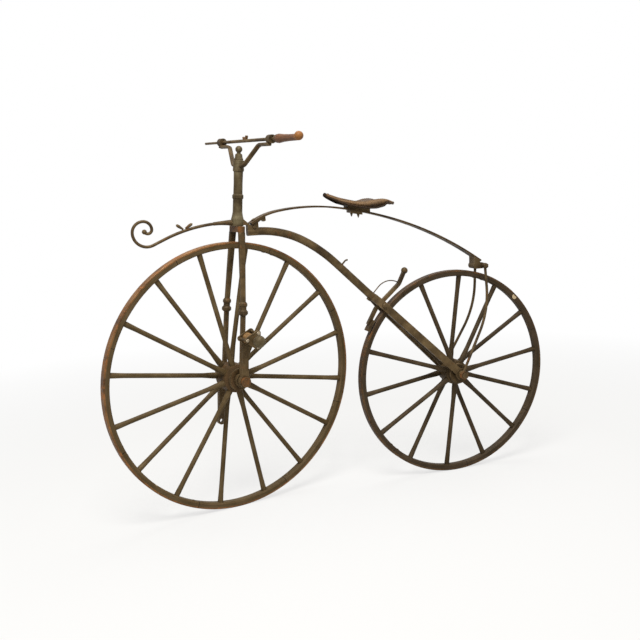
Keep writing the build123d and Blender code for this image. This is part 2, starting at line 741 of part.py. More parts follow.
# Saddle leather: place forward of the rider, half width, middle height, edge height
SADDLE = (
    (127.0, 10.0, 36.0, 33.0),
    (110.0, 20.0, 31.0, 25.0),
    (75.0, 27.0, 21.0, 12.0),
    (15.0, 46.0, 8.0, -9.0),
    (-45.0, 74.0, 8.0, -17.0),
    (-88.0, 74.0, 12.0, -9.0),
    (-114.0, 50.0, 8.0, -5.0),
    (-124.0, 18.0, 0.0, -4.0),
)
with BuildPart() as saddle_leather:
    for place, half, mid, edge in SADDLE:
        with BuildSketch(Plane(origin=(place, 0, 0), x_dir=(0, 1, 0), z_dir=(1, 0, 0))):
            with BuildLine():
                ThreePointArc((-half, edge), (0, mid), (half, edge))
                Line((half, edge), (half, edge - LEATHER))
                ThreePointArc((half, edge - LEATHER), (0, mid - LEATHER), (-half, edge - LEATHER))
                Line((-half, edge - LEATHER), (-half, edge))
            make_face()
    loft()
saddle_leather.part.label = "saddle_leather"
export_step(saddle_leather.part, "parts/saddle_leather.step")

# Iron seat block between leather and spring
block_front = s3 @ BLOCK_SPAN[0]
block_back = s3 @ BLOCK_SPAN[1]
with BuildPart() as saddle_block:
    with BuildSketch(Plane.XZ):
        Polygon(
            (block_front.X, BLOCK_FRONT_UP),
            (block_front.X, block_front.Y),
            (block_back.X, block_back.Y),
            (block_back.X, BLOCK_BACK_UP),
            align=None,
        )
    extrude(amount=BLOCK_HALF, both=True)
    add(saddle_spring.part, mode=Mode.SUBTRACT)
    add(saddle_leather.part, mode=Mode.SUBTRACT)
saddle_block.part.label = "saddle_block"
export_step(saddle_block.part, "parts/saddle_block.step")

# Clamp plate under the spring with two pointed bolts
clamp_front = s3 @ CLAMP_SPAN[0]
clamp_back = s3 @ CLAMP_SPAN[1]
with BuildPart() as saddle_clamp:
    with BuildSketch(Plane.XZ):
        Polygon(
            (clamp_front.X, clamp_front.Y),
            (clamp_back.X, clamp_back.Y),
            (clamp_back.X, clamp_back.Y - CLAMP_DEPTH),
            (clamp_front.X, clamp_front.Y - CLAMP_DEPTH),
            align=None,
        )
    extrude(amount=BLOCK_HALF + SEAT_FIT, both=True)
    for share in CLAMP_BOLTS:
        bolt = s3 @ share
        bolt_plane = Plane(origin=(bolt.X, 0, bolt.Y))
        with BuildSketch(turning(bolt_plane)):
            Polygon(
                (0, -SPRING_THICK),
                (CLAMP_BOLT_R, -SPRING_THICK),
                (CLAMP_TIP_R, -CLAMP_TIP),
                (0, -CLAMP_TIP),
                align=None,
            )
        revolve(axis=spin(bolt_plane))
    add(saddle_spring.part, mode=Mode.SUBTRACT)
saddle_clamp.part.label = "saddle_clamp"
export_step(saddle_clamp.part, "parts/saddle_clamp.step")

# Fork crown with the steering stem
crown_top = SOCKET_BASE - THRUST_GAP
crown_foot = crown_top - CROWN_DEPTH
boss_foot = SOCKET_TOP + THRUST_GAP
nut_foot = boss_foot + YOKE_BOSS
with BuildPart() as fork_crown:
    with BuildSketch(STEER.offset(crown_foot)):
        SlotOverall(2 * (LEG_TOP_Y + CROWN_SHOULDER), CROWN_WIDTH, rotation=90)
    extrude(amount=CROWN_DEPTH)
    with BuildSketch(STEER.offset(crown_foot)):
        Circle(STEM_R)
    extrude(amount=SOCKET_TOP - crown_foot)
    with BuildSketch(STEER.offset(crown_foot)):
        Circle(STEM_TOP_R)
    extrude(amount=nut_foot + STEM_PROUD - crown_foot)
fork_crown.part.label = "fork_crown"
export_step(fork_crown.part, "parts/fork_crown.step")


# Fork leg sections: height above the axle, place to the side, width fore and aft, thickness
LEG_SECTIONS = (
    (crown_foot, LEG_TOP_Y, 22.0, 16.0),
    (KNUCKLE_Z, KNUCKLE_Y, 17.0, 13.0),
    (0.0, LEG_FOOT_Y, 17.0, 13.0),
)
# Turned knuckle of the leg: height from its middle, radius
KNUCKLE = ((-24.0, 10.0), (-18.0, 16.0), (-10.0, 16.0), (-4.0, 11.0), (4.0, 11.0),
           (9.0, 14.0), (16.0, 14.0), (22.0, 10.0))
for name, hand in SIDES:
    with BuildPart() as leg:
        for height, out, wide, thick in LEG_SECTIONS:
            forward = AXLE_X * (1 - height / crown_foot)
            with BuildSketch(placed(STEER, Plane(origin=(forward, hand * out, height)))):
                RectangleRounded(wide, thick, LEG_ROUND)
        loft(ruled=True)
        knuckle_x = AXLE_X * (1 - KNUCKLE_Z / crown_foot)
        leg_way = Vector(-AXLE_X, hand * (LEG_TOP_Y - LEG_FOOT_Y), crown_foot)
        bead = placed(
            STEER,
            Plane(origin=(knuckle_x, hand * KNUCKLE_Y, KNUCKLE_Z), x_dir=(1, 0, 0), z_dir=leg_way),
        )
        with BuildSketch(turning(bead)):
            Polygon(
                (0, KNUCKLE[0][0]),
                *[(radius, height) for height, radius in KNUCKLE],
                (0, KNUCKLE[-1][0]),
                align=None,
            )
        revolve(axis=spin(bead))
        with BuildSketch(FRONT_HUB.offset(hand * FRONT_EYE_IN)):
            Circle(FRONT_EYE_R)
        extrude(amount=hand * (FRONT_EYE_OUT - FRONT_EYE_IN))
        with BuildSketch(FRONT_HUB):
            Circle(FRONT_AXLE_R + RUN_FIT)
        extrude(amount=hand * THROUGH, mode=Mode.SUBTRACT)
    leg.part.label = "fork_leg_" + name
    export_step(leg.part, "parts/fork_leg_" + name + ".step")

# Yoke: boss on the stem, two arms swept back to the eyes of the bar
eye_rise = BAR_Z - boss_foot - YOKE_BOSS / 2
eye_way = Vector(-BAR_SWEEP, 0, eye_rise)
YOKE = placed(
    STEER,
    Plane(origin=(0, 0, boss_foot + YOKE_BOSS / 2), x_dir=(0, 1, 0), z_dir=Vector(0, 1, 0).cross(eye_way)),
)
BAR = placed(STEER, Plane(origin=(-BAR_SWEEP, 0, BAR_Z), x_dir=(0, 0, 1), z_dir=(0, 1, 0)))
with BuildPart() as yoke:
    with BuildSketch(STEER.offset(boss_foot)):
        Circle(YOKE_BOSS_R)
        Circle(STEM_TOP_R + SEAT_FIT, mode=Mode.SUBTRACT)
    extrude(amount=YOKE_BOSS)
yoke.part.label = "handlebar_yoke"
export_step(yoke.part, "parts/handlebar_yoke.step")

arm_top = eye_way.length - ARM_UNDER_BAR
for name, hand in SIDES:
    with BuildPart() as yoke_arm:
        with BuildLine(YOKE) as arm:
            FilletPolyline(
                (0, ARM_START_UP),
                (hand * ARM_START_Y, ARM_START_UP),
                (hand * ARM_RISE_Y, arm_top),
                (hand * BAR_EYE_Y, arm_top),
                radius=ARM_BEND,
            )
        with BuildSketch(Plane(origin=arm.line @ 0, x_dir=YOKE.z_dir, z_dir=arm.line % 0)):
            RectangleRounded(ARM_WIDTH, ARM_THICK, ARM_ROUND)
        sweep()
        with BuildSketch(BAR.offset(hand * (BAR_EYE_Y - BAR_EYE_HALF))):
            Circle(BAR_EYE_R)
            with Locations((BAR_EYE_R / 2, 0)):
                Rectangle(BAR_EYE_R * 2, EYE_SLIT, mode=Mode.SUBTRACT)
            Circle(BAR_R + SEAT_FIT, mode=Mode.SUBTRACT)
        extrude(amount=hand * BAR_EYE_HALF * 2)
        with BuildSketch(STEER.offset(boss_foot - YOKE_BOSS)):
            Circle(YOKE_BOSS_R)
        extrude(amount=YOKE_BOSS * 3, mode=Mode.SUBTRACT)
    yoke_arm.part.label = "yoke_arm_" + name
    export_step(yoke_arm.part, "parts/yoke_arm_" + name + ".step")

# Finial nut turning: height over its foot, radius
FINIAL = (
    (0.0, 18.5),
    (9.0, 18.5),
    (11.0, 15.0),
    (16.0, 15.0),
    (18.0, 13.0),
    (30.0, 11.5),
    (33.0, ACORN_NECK_R),
)
acorn_mid = nut_foot + ACORN_UP
acorn_turn = -degrees(acos(ACORN_NECK_R / ACORN_R))
nut_bore = nut_foot + STEM_PROUD + THRUST_GAP
with BuildPart() as finial:
    with BuildSketch(turning(STEER)):
        with BuildLine():
            Polyline(
                (0, nut_bore),
                (STEM_TOP_R + SEAT_FIT, nut_bore),
                (STEM_TOP_R + SEAT_FIT, nut_foot),
                *[(radius, nut_foot + height) for height, radius in FINIAL],
                (ACORN_NECK_R, acorn_mid - sqrt(ACORN_R**2 - ACORN_NECK_R**2)),
            )
            CenterArc((0, acorn_mid), ACORN_R, acorn_turn, 90 - acorn_turn)
            Line((0, acorn_mid + ACORN_R), (0, nut_bore))
        make_face()
    revolve(axis=spin(STEER))
finial.part.label = "finial_nut"
export_step(finial.part, "parts/finial_nut.step")

tang_end = GRIP_END - GRIP_WALL_END
with BuildPart() as handlebar:
    with BuildSketch(BAR.offset(-BAR_EYE_Y - BAR_EYE_HALF)):
        Circle(BAR_R)
    extrude(amount=BAR_EYE_Y + BAR_EYE_HALF + GRIP_START)
    with BuildSketch(BAR.offset(-BAR_BARE_END)):
        Circle(TANG_R)
    extrude(amount=BAR_BARE_END + tang_end)
handlebar.part.label = "handlebar"
export_step(handlebar.part, "parts/handlebar.step")

# Cleat for the brake cord on the bar: place along the bar, height over it
CLEAT = (
    (-9.0, 0.0),
    (-13.0, 12.0),
    (-9.0, 13.5),
    (-3.0, 9.0),
    (3.0, 9.0),
    (8.0, 17.5),
    (13.0, 16.0),
    (9.0, 0.0),
)
with BuildPart() as bar_hook:
    with BuildSketch(Plane(origin=BAR.origin, x_dir=BAR.z_dir, z_dir=BAR.y_dir)):
        Polygon(*CLEAT, align=None)
    extrude(amount=HOOK_THICK / 2, both=True)
    add(handlebar.part, mode=Mode.SUBTRACT)
bar_hook.part.label = "handlebar_hook"
export_step(bar_hook.part, "parts/handlebar_hook.step")

# Grip turning: distance from its inner end, radius
GRIP = ((0.0, 12.0), (14.0, 14.5), (40.0, 12.0), (75.0, 10.5))
ball_mid = GRIP_END - BALL_R
with BuildPart() as grip:
    with BuildSketch(turning(BAR)):
        Polygon(
            (0, tang_end),
            (TANG_R + SEAT_FIT, tang_end),
            (TANG_R + SEAT_FIT, GRIP_START),
            *[(radius, GRIP_START + distance) for distance, radius in GRIP],
            (GRIP_NECK_R, ball_mid),
            (0, ball_mid),
            align=None,
        )
    revolve(axis=spin(BAR))
    with Locations(placed(BAR, Plane(origin=(BALL_LIFT, 0, ball_mid))).location):
        Sphere(BALL_R)
    with BuildSketch(BAR):
        Circle(TANG_R + SEAT_FIT)
    extrude(amount=tang_end, mode=Mode.SUBTRACT)
grip.part.label = "left_grip"
export_step(grip.part, "parts/left_grip.step")

# Front axle, cranks and the pedal that is left
crank_out = CRANK_IN + CRANK_THICK
with BuildPart() as front_axle:
    with BuildSketch(FRONT_HUB):
        Circle(FRONT_AXLE_R - SEAT_FIT)
    extrude(amount=crank_out + AXLE_NUT_WIDTH + AXLE_PROUD, both=True)
front_axle.part.label = "front_axle"
export_step(front_axle.part, "parts/front_axle.step")

lean_turn = radians(CRANK_LEAN)
crank_way = FRONT_HUB.x_dir * cos(lean_turn) + FRONT_HUB.y_dir * sin(lean_turn)
for name, hand, length in (("left", 1, CRANK_LENGTH), ("right", -1, RIGHT_CRANK)):
    arm_plane = Plane(origin=FRONT_HUB.origin, x_dir=crank_way * hand, z_dir=FRONT_HUB.z_dir)
    with BuildPart() as crank:
        with BuildSketch(arm_plane.offset(hand * CRANK_IN)):
            Circle(CRANK_BOSS_R)
            with Locations((length, 0)):
                Circle(CRANK_EYE_R)
            Polygon(
                (0, -CRANK_FOOT_HALF),
                (0, CRANK_FOOT_HALF),
                (length, CRANK_TIP_HALF),
                (length, -CRANK_TIP_HALF),
                align=None,
            )
            Circle(FRONT_AXLE_R, mode=Mode.SUBTRACT)
            with Locations((length, 0)):
                Circle(PEDAL_PIN_R + SEAT_FIT, mode=Mode.SUBTRACT)
        extrude(amount=hand * CRANK_THICK)
    crank.part.label = "crank_" + name
    export_step(crank.part, "parts/crank_" + name + ".step")

with BuildPart() as axle_nuts:
    for name, hand in SIDES:
        with BuildSketch(FRONT_HUB.offset(hand * crank_out)):
            Circle(AXLE_NUT_R)
            Circle(FRONT_AXLE_R, mode=Mode.SUBTRACT)
        extrude(amount=hand * AXLE_NUT_WIDTH)
axle_nuts.part.label = "front_axle_nuts"
export_step(axle_nuts.part, "parts/front_axle_nuts.step")

PEDAL = Plane(
    origin=FRONT_HUB.origin + crank_way * CRANK_LENGTH + FRONT_HUB.z_dir * crank_out,
    x_dir=FRONT_HUB.x_dir,
    z_dir=FRONT_HUB.z_dir,
)
roll_in = PEDAL_GAP + PEDAL_PLATE
roll_out = roll_in + PEDAL_LENGTH
with BuildPart() as pedal_pin:
    with BuildSketch(PEDAL.offset(-CRANK_THICK)):
        Circle(PEDAL_PIN_R)
    extrude(amount=CRANK_THICK + PEDAL_KNOB_IN + PIN_IN_KNOB)
    with BuildSketch(PEDAL):
        Circle(PEDAL_COLLAR_R)
    extrude(amount=PEDAL_GAP - PIN_GAP)
pedal_pin.part.label = "left_pedal_pin"
export_step(pedal_pin.part, "parts/left_pedal_pin.step")

# Two corner plates joined by three rods
with BuildPart() as pedal_plates:
    for place in (PEDAL_GAP, roll_out):
        with BuildSketch(PEDAL.offset(place)) as plate:
            RegularPolygon(PEDAL_CORNER_R, PEDAL_CORNERS, rotation=PEDAL_TURN)
            fillet(plate.vertices(), PEDAL_ROUND)
            Circle(PEDAL_PIN_R + RUN_FIT, mode=Mode.SUBTRACT)
        extrude(amount=PEDAL_PLATE)
    with BuildSketch(PEDAL.offset(PEDAL_GAP)):
        with PolarLocations(PEDAL_ROD_RING, PEDAL_CORNERS, start_angle=PEDAL_TURN):
            Circle(PEDAL_ROD_R)
    extrude(amount=roll_out + PEDAL_PLATE - PEDAL_GAP)
pedal_plates.part.label = "left_pedal_plates"
export_step(pedal_plates.part, "parts/left_pedal_plates.step")

with BuildPart() as pedal_roll:
    with BuildSketch(turning(PEDAL)):
        Polygon(
            (PEDAL_PIN_R + RUN_FIT, roll_in),
            (PEDAL_ROLL_R, roll_in),
            (PEDAL_ROLL_WAIST, (roll_in + roll_out) / 2),
            (PEDAL_ROLL_R, roll_out),
            (PEDAL_PIN_R + RUN_FIT, roll_out),
            align=None,
        )
    revolve(axis=spin(PEDAL))
pedal_roll.part.label = "left_pedal_roll"
export_step(pedal_roll.part, "parts/left_pedal_roll.step")

with BuildPart() as pedal_knob:
    with Locations(PEDAL.offset(PEDAL_KNOB_IN + PEDAL_KNOB_FLAT).location):
        Sphere(PEDAL_KNOB_R)
    with BuildSketch(PEDAL.offset(PEDAL_KNOB_IN)):
        Circle(PEDAL_KNOB_R * 2)
    extrude(amount=-PEDAL_KNOB_R, mode=Mode.SUBTRACT)
    with BuildSketch(PEDAL):
        Circle(PEDAL_PIN_R + SEAT_FIT)
    extrude(amount=PEDAL_KNOB_IN + PIN_IN_KNOB, mode=Mode.SUBTRACT)
pedal_knob.part.label = "left_pedal_knob"
export_step(pedal_knob.part, "parts/left_pedal_knob.step")
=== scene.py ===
"""Looks of a boneshaker velocipede.

Worn brown paint on ash wheels, rusted wrought iron and an old leather saddle,
on a plain pale floor.  Metres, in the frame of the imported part.
"""
import logging
import math
from dataclasses import KW_ONLY, astuple, dataclass, field
from enum import Enum
from typing import Callable

import bpy
from mathutils import Matrix, Vector


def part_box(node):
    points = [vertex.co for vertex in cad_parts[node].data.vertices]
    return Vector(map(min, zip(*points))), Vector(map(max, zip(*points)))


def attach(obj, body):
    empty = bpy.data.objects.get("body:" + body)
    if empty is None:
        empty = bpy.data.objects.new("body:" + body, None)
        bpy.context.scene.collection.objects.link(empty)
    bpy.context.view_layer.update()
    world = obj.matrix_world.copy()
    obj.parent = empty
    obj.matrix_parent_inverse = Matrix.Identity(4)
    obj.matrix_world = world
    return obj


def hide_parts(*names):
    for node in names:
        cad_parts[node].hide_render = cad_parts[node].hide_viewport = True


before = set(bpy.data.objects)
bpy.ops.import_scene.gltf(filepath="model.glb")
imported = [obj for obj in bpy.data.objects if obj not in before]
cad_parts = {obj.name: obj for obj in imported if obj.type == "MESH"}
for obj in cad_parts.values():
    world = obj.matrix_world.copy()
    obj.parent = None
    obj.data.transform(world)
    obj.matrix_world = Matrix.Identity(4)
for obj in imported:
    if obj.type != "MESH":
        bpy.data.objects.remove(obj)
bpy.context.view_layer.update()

log = logging.getLogger("velocipede")

MM = 0.001
GROUND_Z = -1.020

# Places that the part's own layout gives
RAKE = math.radians(4.6)
STEER_REST = math.radians(11.4)
AXIS_SETBACK = 0.0045
FRONT_AXLE = Vector((0.485, 0.0, -0.563))
REAR_AXLE = Vector((-0.359, 0.0, -0.642))
HUB_TURN = Matrix(((0, 1, 0, 0), (0, 0, 1, 0), (1, 0, 0, 0), (0, 0, 0, 1)))

# Attribute of the saddle's cover: 0 in the middle, 1 at the hem
RIM_MARK = "near_rim"

Colour = tuple[float, float, float, float]
Point = tuple[float, float, float]
Span = tuple[float, float]
Profile = tuple[Span, ...]
Tones = tuple[str, str, str]
Tree = bpy.types.NodeTree
Socket = bpy.types.NodeSocket


def linear(code: str) -> Colour:
    """Turns an sRGB hex colour to linear values.

    Args:
        code: Six hex digits, with or without a leading hash.

    Returns:
        Red, green, blue and an alpha of one.
    """
    digits = code.lstrip("#")
    parts = [int(digits[i:i + 2], 16) / 255 for i in (0, 2, 4)]
    lin = [p / 12.92 if p <= 0.04045 else ((p + 0.055) / 1.055) ** 2.4 for p in parts]
    return (lin[0], lin[1], lin[2], 1.0)


def scale_of(size_mm: float) -> float:
    """Pattern scale whose features are about a size in millimetres."""
    return 1.0 / (size_mm * MM)


def add_node(
    tree: Tree,
    kind: str,
    inputs: dict[int | str, object] | None = None,
    stops: tuple[tuple[float, str], ...] = (),
    **settings: object,
) -> bpy.types.Node:
    """Adds a shader node with its settings and links.

    Args:
        tree: Node tree of the material or world.
        kind: Node type without the leading ShaderNode.
        inputs: Input name or index to a socket to link or a value to set.
        stops: Places and hex colours of a colour ramp, in order.
        settings: Attributes of the node.

    Returns:
        The new node.
    """
    made = tree.nodes.new("ShaderNode" + kind)
    for key, value in settings.items():
        setattr(made, key, value)
    for key, value in (inputs or {}).items():
        if isinstance(value, Socket):
            tree.links.new(value, made.inputs[key])
        else:
            made.inputs[key].default_value = value
    if stops:
        ramp = made.color_ramp.elements
        for element, (place, code) in ((ramp[0], stops[0]), (ramp[1], stops[-1])):
            element.position = place
            element.color = linear(code)
        for place, code in stops[1:-1]:
            ramp.new(place).color = linear(code)
    return made


def head_frame() -> Matrix:
    """Steering axis: z up the head, x forward, turned with the front wheel."""
    origin = Matrix.Translation(FRONT_AXLE - Vector((AXIS_SETBACK, 0, 0)))
    return origin @ Matrix.Rotation(-RAKE, 4, "Y") @ Matrix.Rotation(STEER_REST, 4, "Z")


def front_hub() -> Matrix:
    """Hub of the front wheel: z along the axle to the left, x up."""
    local = Vector((AXIS_SETBACK * math.cos(RAKE), 0, -AXIS_SETBACK * math.sin(RAKE)))
    return head_frame() @ Matrix.Translation(local) @ HUB_TURN


def rear_hub() -> Matrix:
    """Hub of the rear wheel: z along the axle to the left, x up."""
    return Matrix.Translation(REAR_AXLE) @ HUB_TURN


class Grain(Enum):
    """Way that the wood's grain runs on a wheel."""

    RADIAL = "along the spokes"
    ROUND = "round the rim"


class Body(str, Enum):
    """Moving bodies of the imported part."""

    FRAME = "frame"
    STEERING = "steering"
    FRONT_WHEEL = "front_wheel"
    LEFT_PEDAL = "left_pedal"
    REAR_WHEEL = "rear_wheel"


class Slot(str, Enum):
    """Material slots of the record for the added pieces, not used in this script."""

    IRON = "wrought_iron"
    LEATHER = "leather"


@dataclass(frozen=True)
class Surface:
    """Colour of a finish, the coats over it, and what drives its roughness and relief."""

    colour: Socket
    coats: list[tuple[Socket, str]]
    wear: Socket
    height: Socket


@dataclass(frozen=True)
class Finish:
    """A named surface, made as a node material."""

    name: str
    _: KW_ONLY
    metal: float = 0.0
    specular: float = 0.12
    wear_span: Span = (0.3, 0.7)
    rough_span: Span = (0.42, 0.66)
    relief_mm: float = 0.4
    edge_mm: float = 2.2
    edge_gain: float = 6.0
    # Reach of the occlusion that paints shade and grime into hollows
    shade_reach_mm: float = 9.0
    open_from: float = 0.85
    shut_from: float = 0.25

    def build(self) -> bpy.types.Material:
        """Makes the material.

        Returns:
            The finished node material.
        """
        material = bpy.data.materials.new(self.name)
        material.use_nodes = True
        tree = material.node_tree
        tree.nodes.clear()
        surface = self.paint(tree, add_node(tree, "TexCoord").outputs["Object"])
        colour = surface.colour
        for mask, code in surface.coats:
            coat = add_node(tree, "Mix", {0: mask, 6: colour, 7: linear(code)}, data_type="RGBA")
            colour = coat.outputs[2]
        rough = add_node(
            tree, "MapRange",
            {
                "Value": surface.wear,
                "From Min": self.wear_span[0],
                "From Max": self.wear_span[1],
                "To Min": self.rough_span[0],
                "To Max": self.rough_span[1],
            },
        )
        relief = add_node(
            tree, "Bump",
            {"Height": surface.height, "Distance": self.relief_mm * MM, "Strength": 1.0},
        )
        shader = add_node(
            tree, "BsdfPrincipled",
            {
                "Base Color": colour,
                "Roughness": rough.outputs[0],
                "Normal": relief.outputs["Normal"],
                "Metallic": self.metal,
                "Specular IOR Level": self.specular,
            },
        )
        add_node(tree, "OutputMaterial", {"Surface": shader.outputs["BSDF"]})
        log.info("finish %s", self.name)
        return material

    def paint(self, tree: Tree, place: Socket) -> Surface:
        """Draws the surface.

        Args:
            tree: Node tree of the material.
            place: Object coordinates.

        Returns:
            Its colour and coats, and what drives its roughness and relief.
        """
        raise NotImplementedError

    def edges(self, tree: Tree) -> Socket:
        """Mask of sharp outer edges, where a surface rubs bare.

        Args:
            tree: Node tree of the material.

        Returns:
            A value from 0 on flats to 1 on edges.
        """
        rounded = add_node(tree, "Bevel", {"Radius": self.edge_mm * MM}, samples=4)
        flat = add_node(tree, "NewGeometry")
        dot = add_node(
            tree, "VectorMath",
            {0: rounded.outputs["Normal"], 1: flat.outputs["Normal"]},
            operation="DOT_PRODUCT",
        )
        turn = add_node(tree, "Math", {0: 1.0, 1: dot.outputs["Value"]}, operation="SUBTRACT")
        grown = add_node(
            tree, "Math", {0: turn.outputs[0], 1: self.edge_gain}, operation="MULTIPLY", use_clamp=True,
        )
        return grown.outputs[0]

    def shade_and_dirt_mask(self, tree: Tree) -> Socket:
        """Mask of hollows and joints from ambient occlusion, where painted shade and grime go.

        Args:
            tree: Node tree of the material.

        Returns:
            A value from 0 in the open to 1 in a corner.
        """
        # Ambient occlusion: darkens hollows and joints as painted shade, together with grime
        shut = add_node(tree, "AmbientOcclusion", {"Distance": self.shade_reach_mm * MM}, samples=6)
        return add_node(
            tree, "MapRange",
            {"Value": shut.outputs["AO"], "From Min": self.open_from, "From Max": self.shut_from},
        ).outputs[0]


@dataclass(frozen=True)
class OldIron(Finish):
    """Hammered wrought iron under an old brown patina.

    Soft satin light on the rounds, olive and brown clouds a hand wide, rust
    where water sat, a rubbed grey-brown on the edges and painted shade with
    grime, near black, in the hollows.
    """

    dark: str = "#342819"
    middle: str = "#53432b"
    light: str = "#6c593c"
    rust: str = "#6e4726"
    rubbed: str = "#85735a"
    # Near black of the painted shade with grime in hollows
    shade_and_dirt: str = "#191108"
    rust_from: float = 0.58
    rust_blend: float = 0.1
    rust_cover: float = 0.85
    cloud_mm: float = 60.0
    rust_mm: float = 22.0
    hammer_mm: float = 9.0
    pit_mm: float = 1.6
    pit_share: float = 0.3
    _: KW_ONLY
    metal: float = 0.25
    specular: float = 0.16
    wear_span: Span = (0.35, 0.7)
    rough_span: Span = (0.42, 0.72)
    relief_mm: float = 0.6

    def paint(self, tree: Tree, place: Socket) -> Surface:
        """Clouds, rust, rubbed edges, hammer marks and painted shade with grime in hollows.

        Args:
            tree: Node tree of the material.
            place: Object coordinates.

        Returns:
            The surface.
        """
        grains = (
            (self.cloud_mm, 6.0, 0.62),
            (self.rust_mm, 8.0, 0.7),
            (self.hammer_mm, 2.0, 0.5),
            (self.pit_mm, 3.0, 0.6),
        )
        cloud, spots, marks, pits = (
            add_node(
                tree, "TexNoise",
                {"Vector": place, "Scale": scale_of(size), "Detail": detail, "Roughness": rough},
            ).outputs["Fac"]
            for size, detail, rough in grains
        )
        tone = add_node(
            tree, "ValToRGB", {"Fac": cloud},
            stops=((0.33, self.dark), (0.5, self.middle), (0.68, self.light)),
        )
        rusted = add_node(
            tree, "MapRange",
            {
                "Value": spots,
                "From Min": self.rust_from,
                "From Max": self.rust_from + self.rust_blend,
                "To Max": self.rust_cover,
            },
        )
        worn = add_node(
            tree, "Math", {0: self.edges(tree), 1: cloud}, operation="MULTIPLY", use_clamp=True,
        )
        relief = add_node(tree, "Mix", {0: self.pit_share, 2: marks, 3: pits}, data_type="FLOAT")
        coats = [
            (rusted.outputs[0], self.rust),
            (worn.outputs[0], self.rubbed),
            # Painted shade with grime, near black, in hollows and joints, from occlusion
            (self.shade_and_dirt_mask(tree), self.shade_and_dirt),
        ]
        return Surface(tone.outputs["Color"], coats, spots, relief.outputs[0])


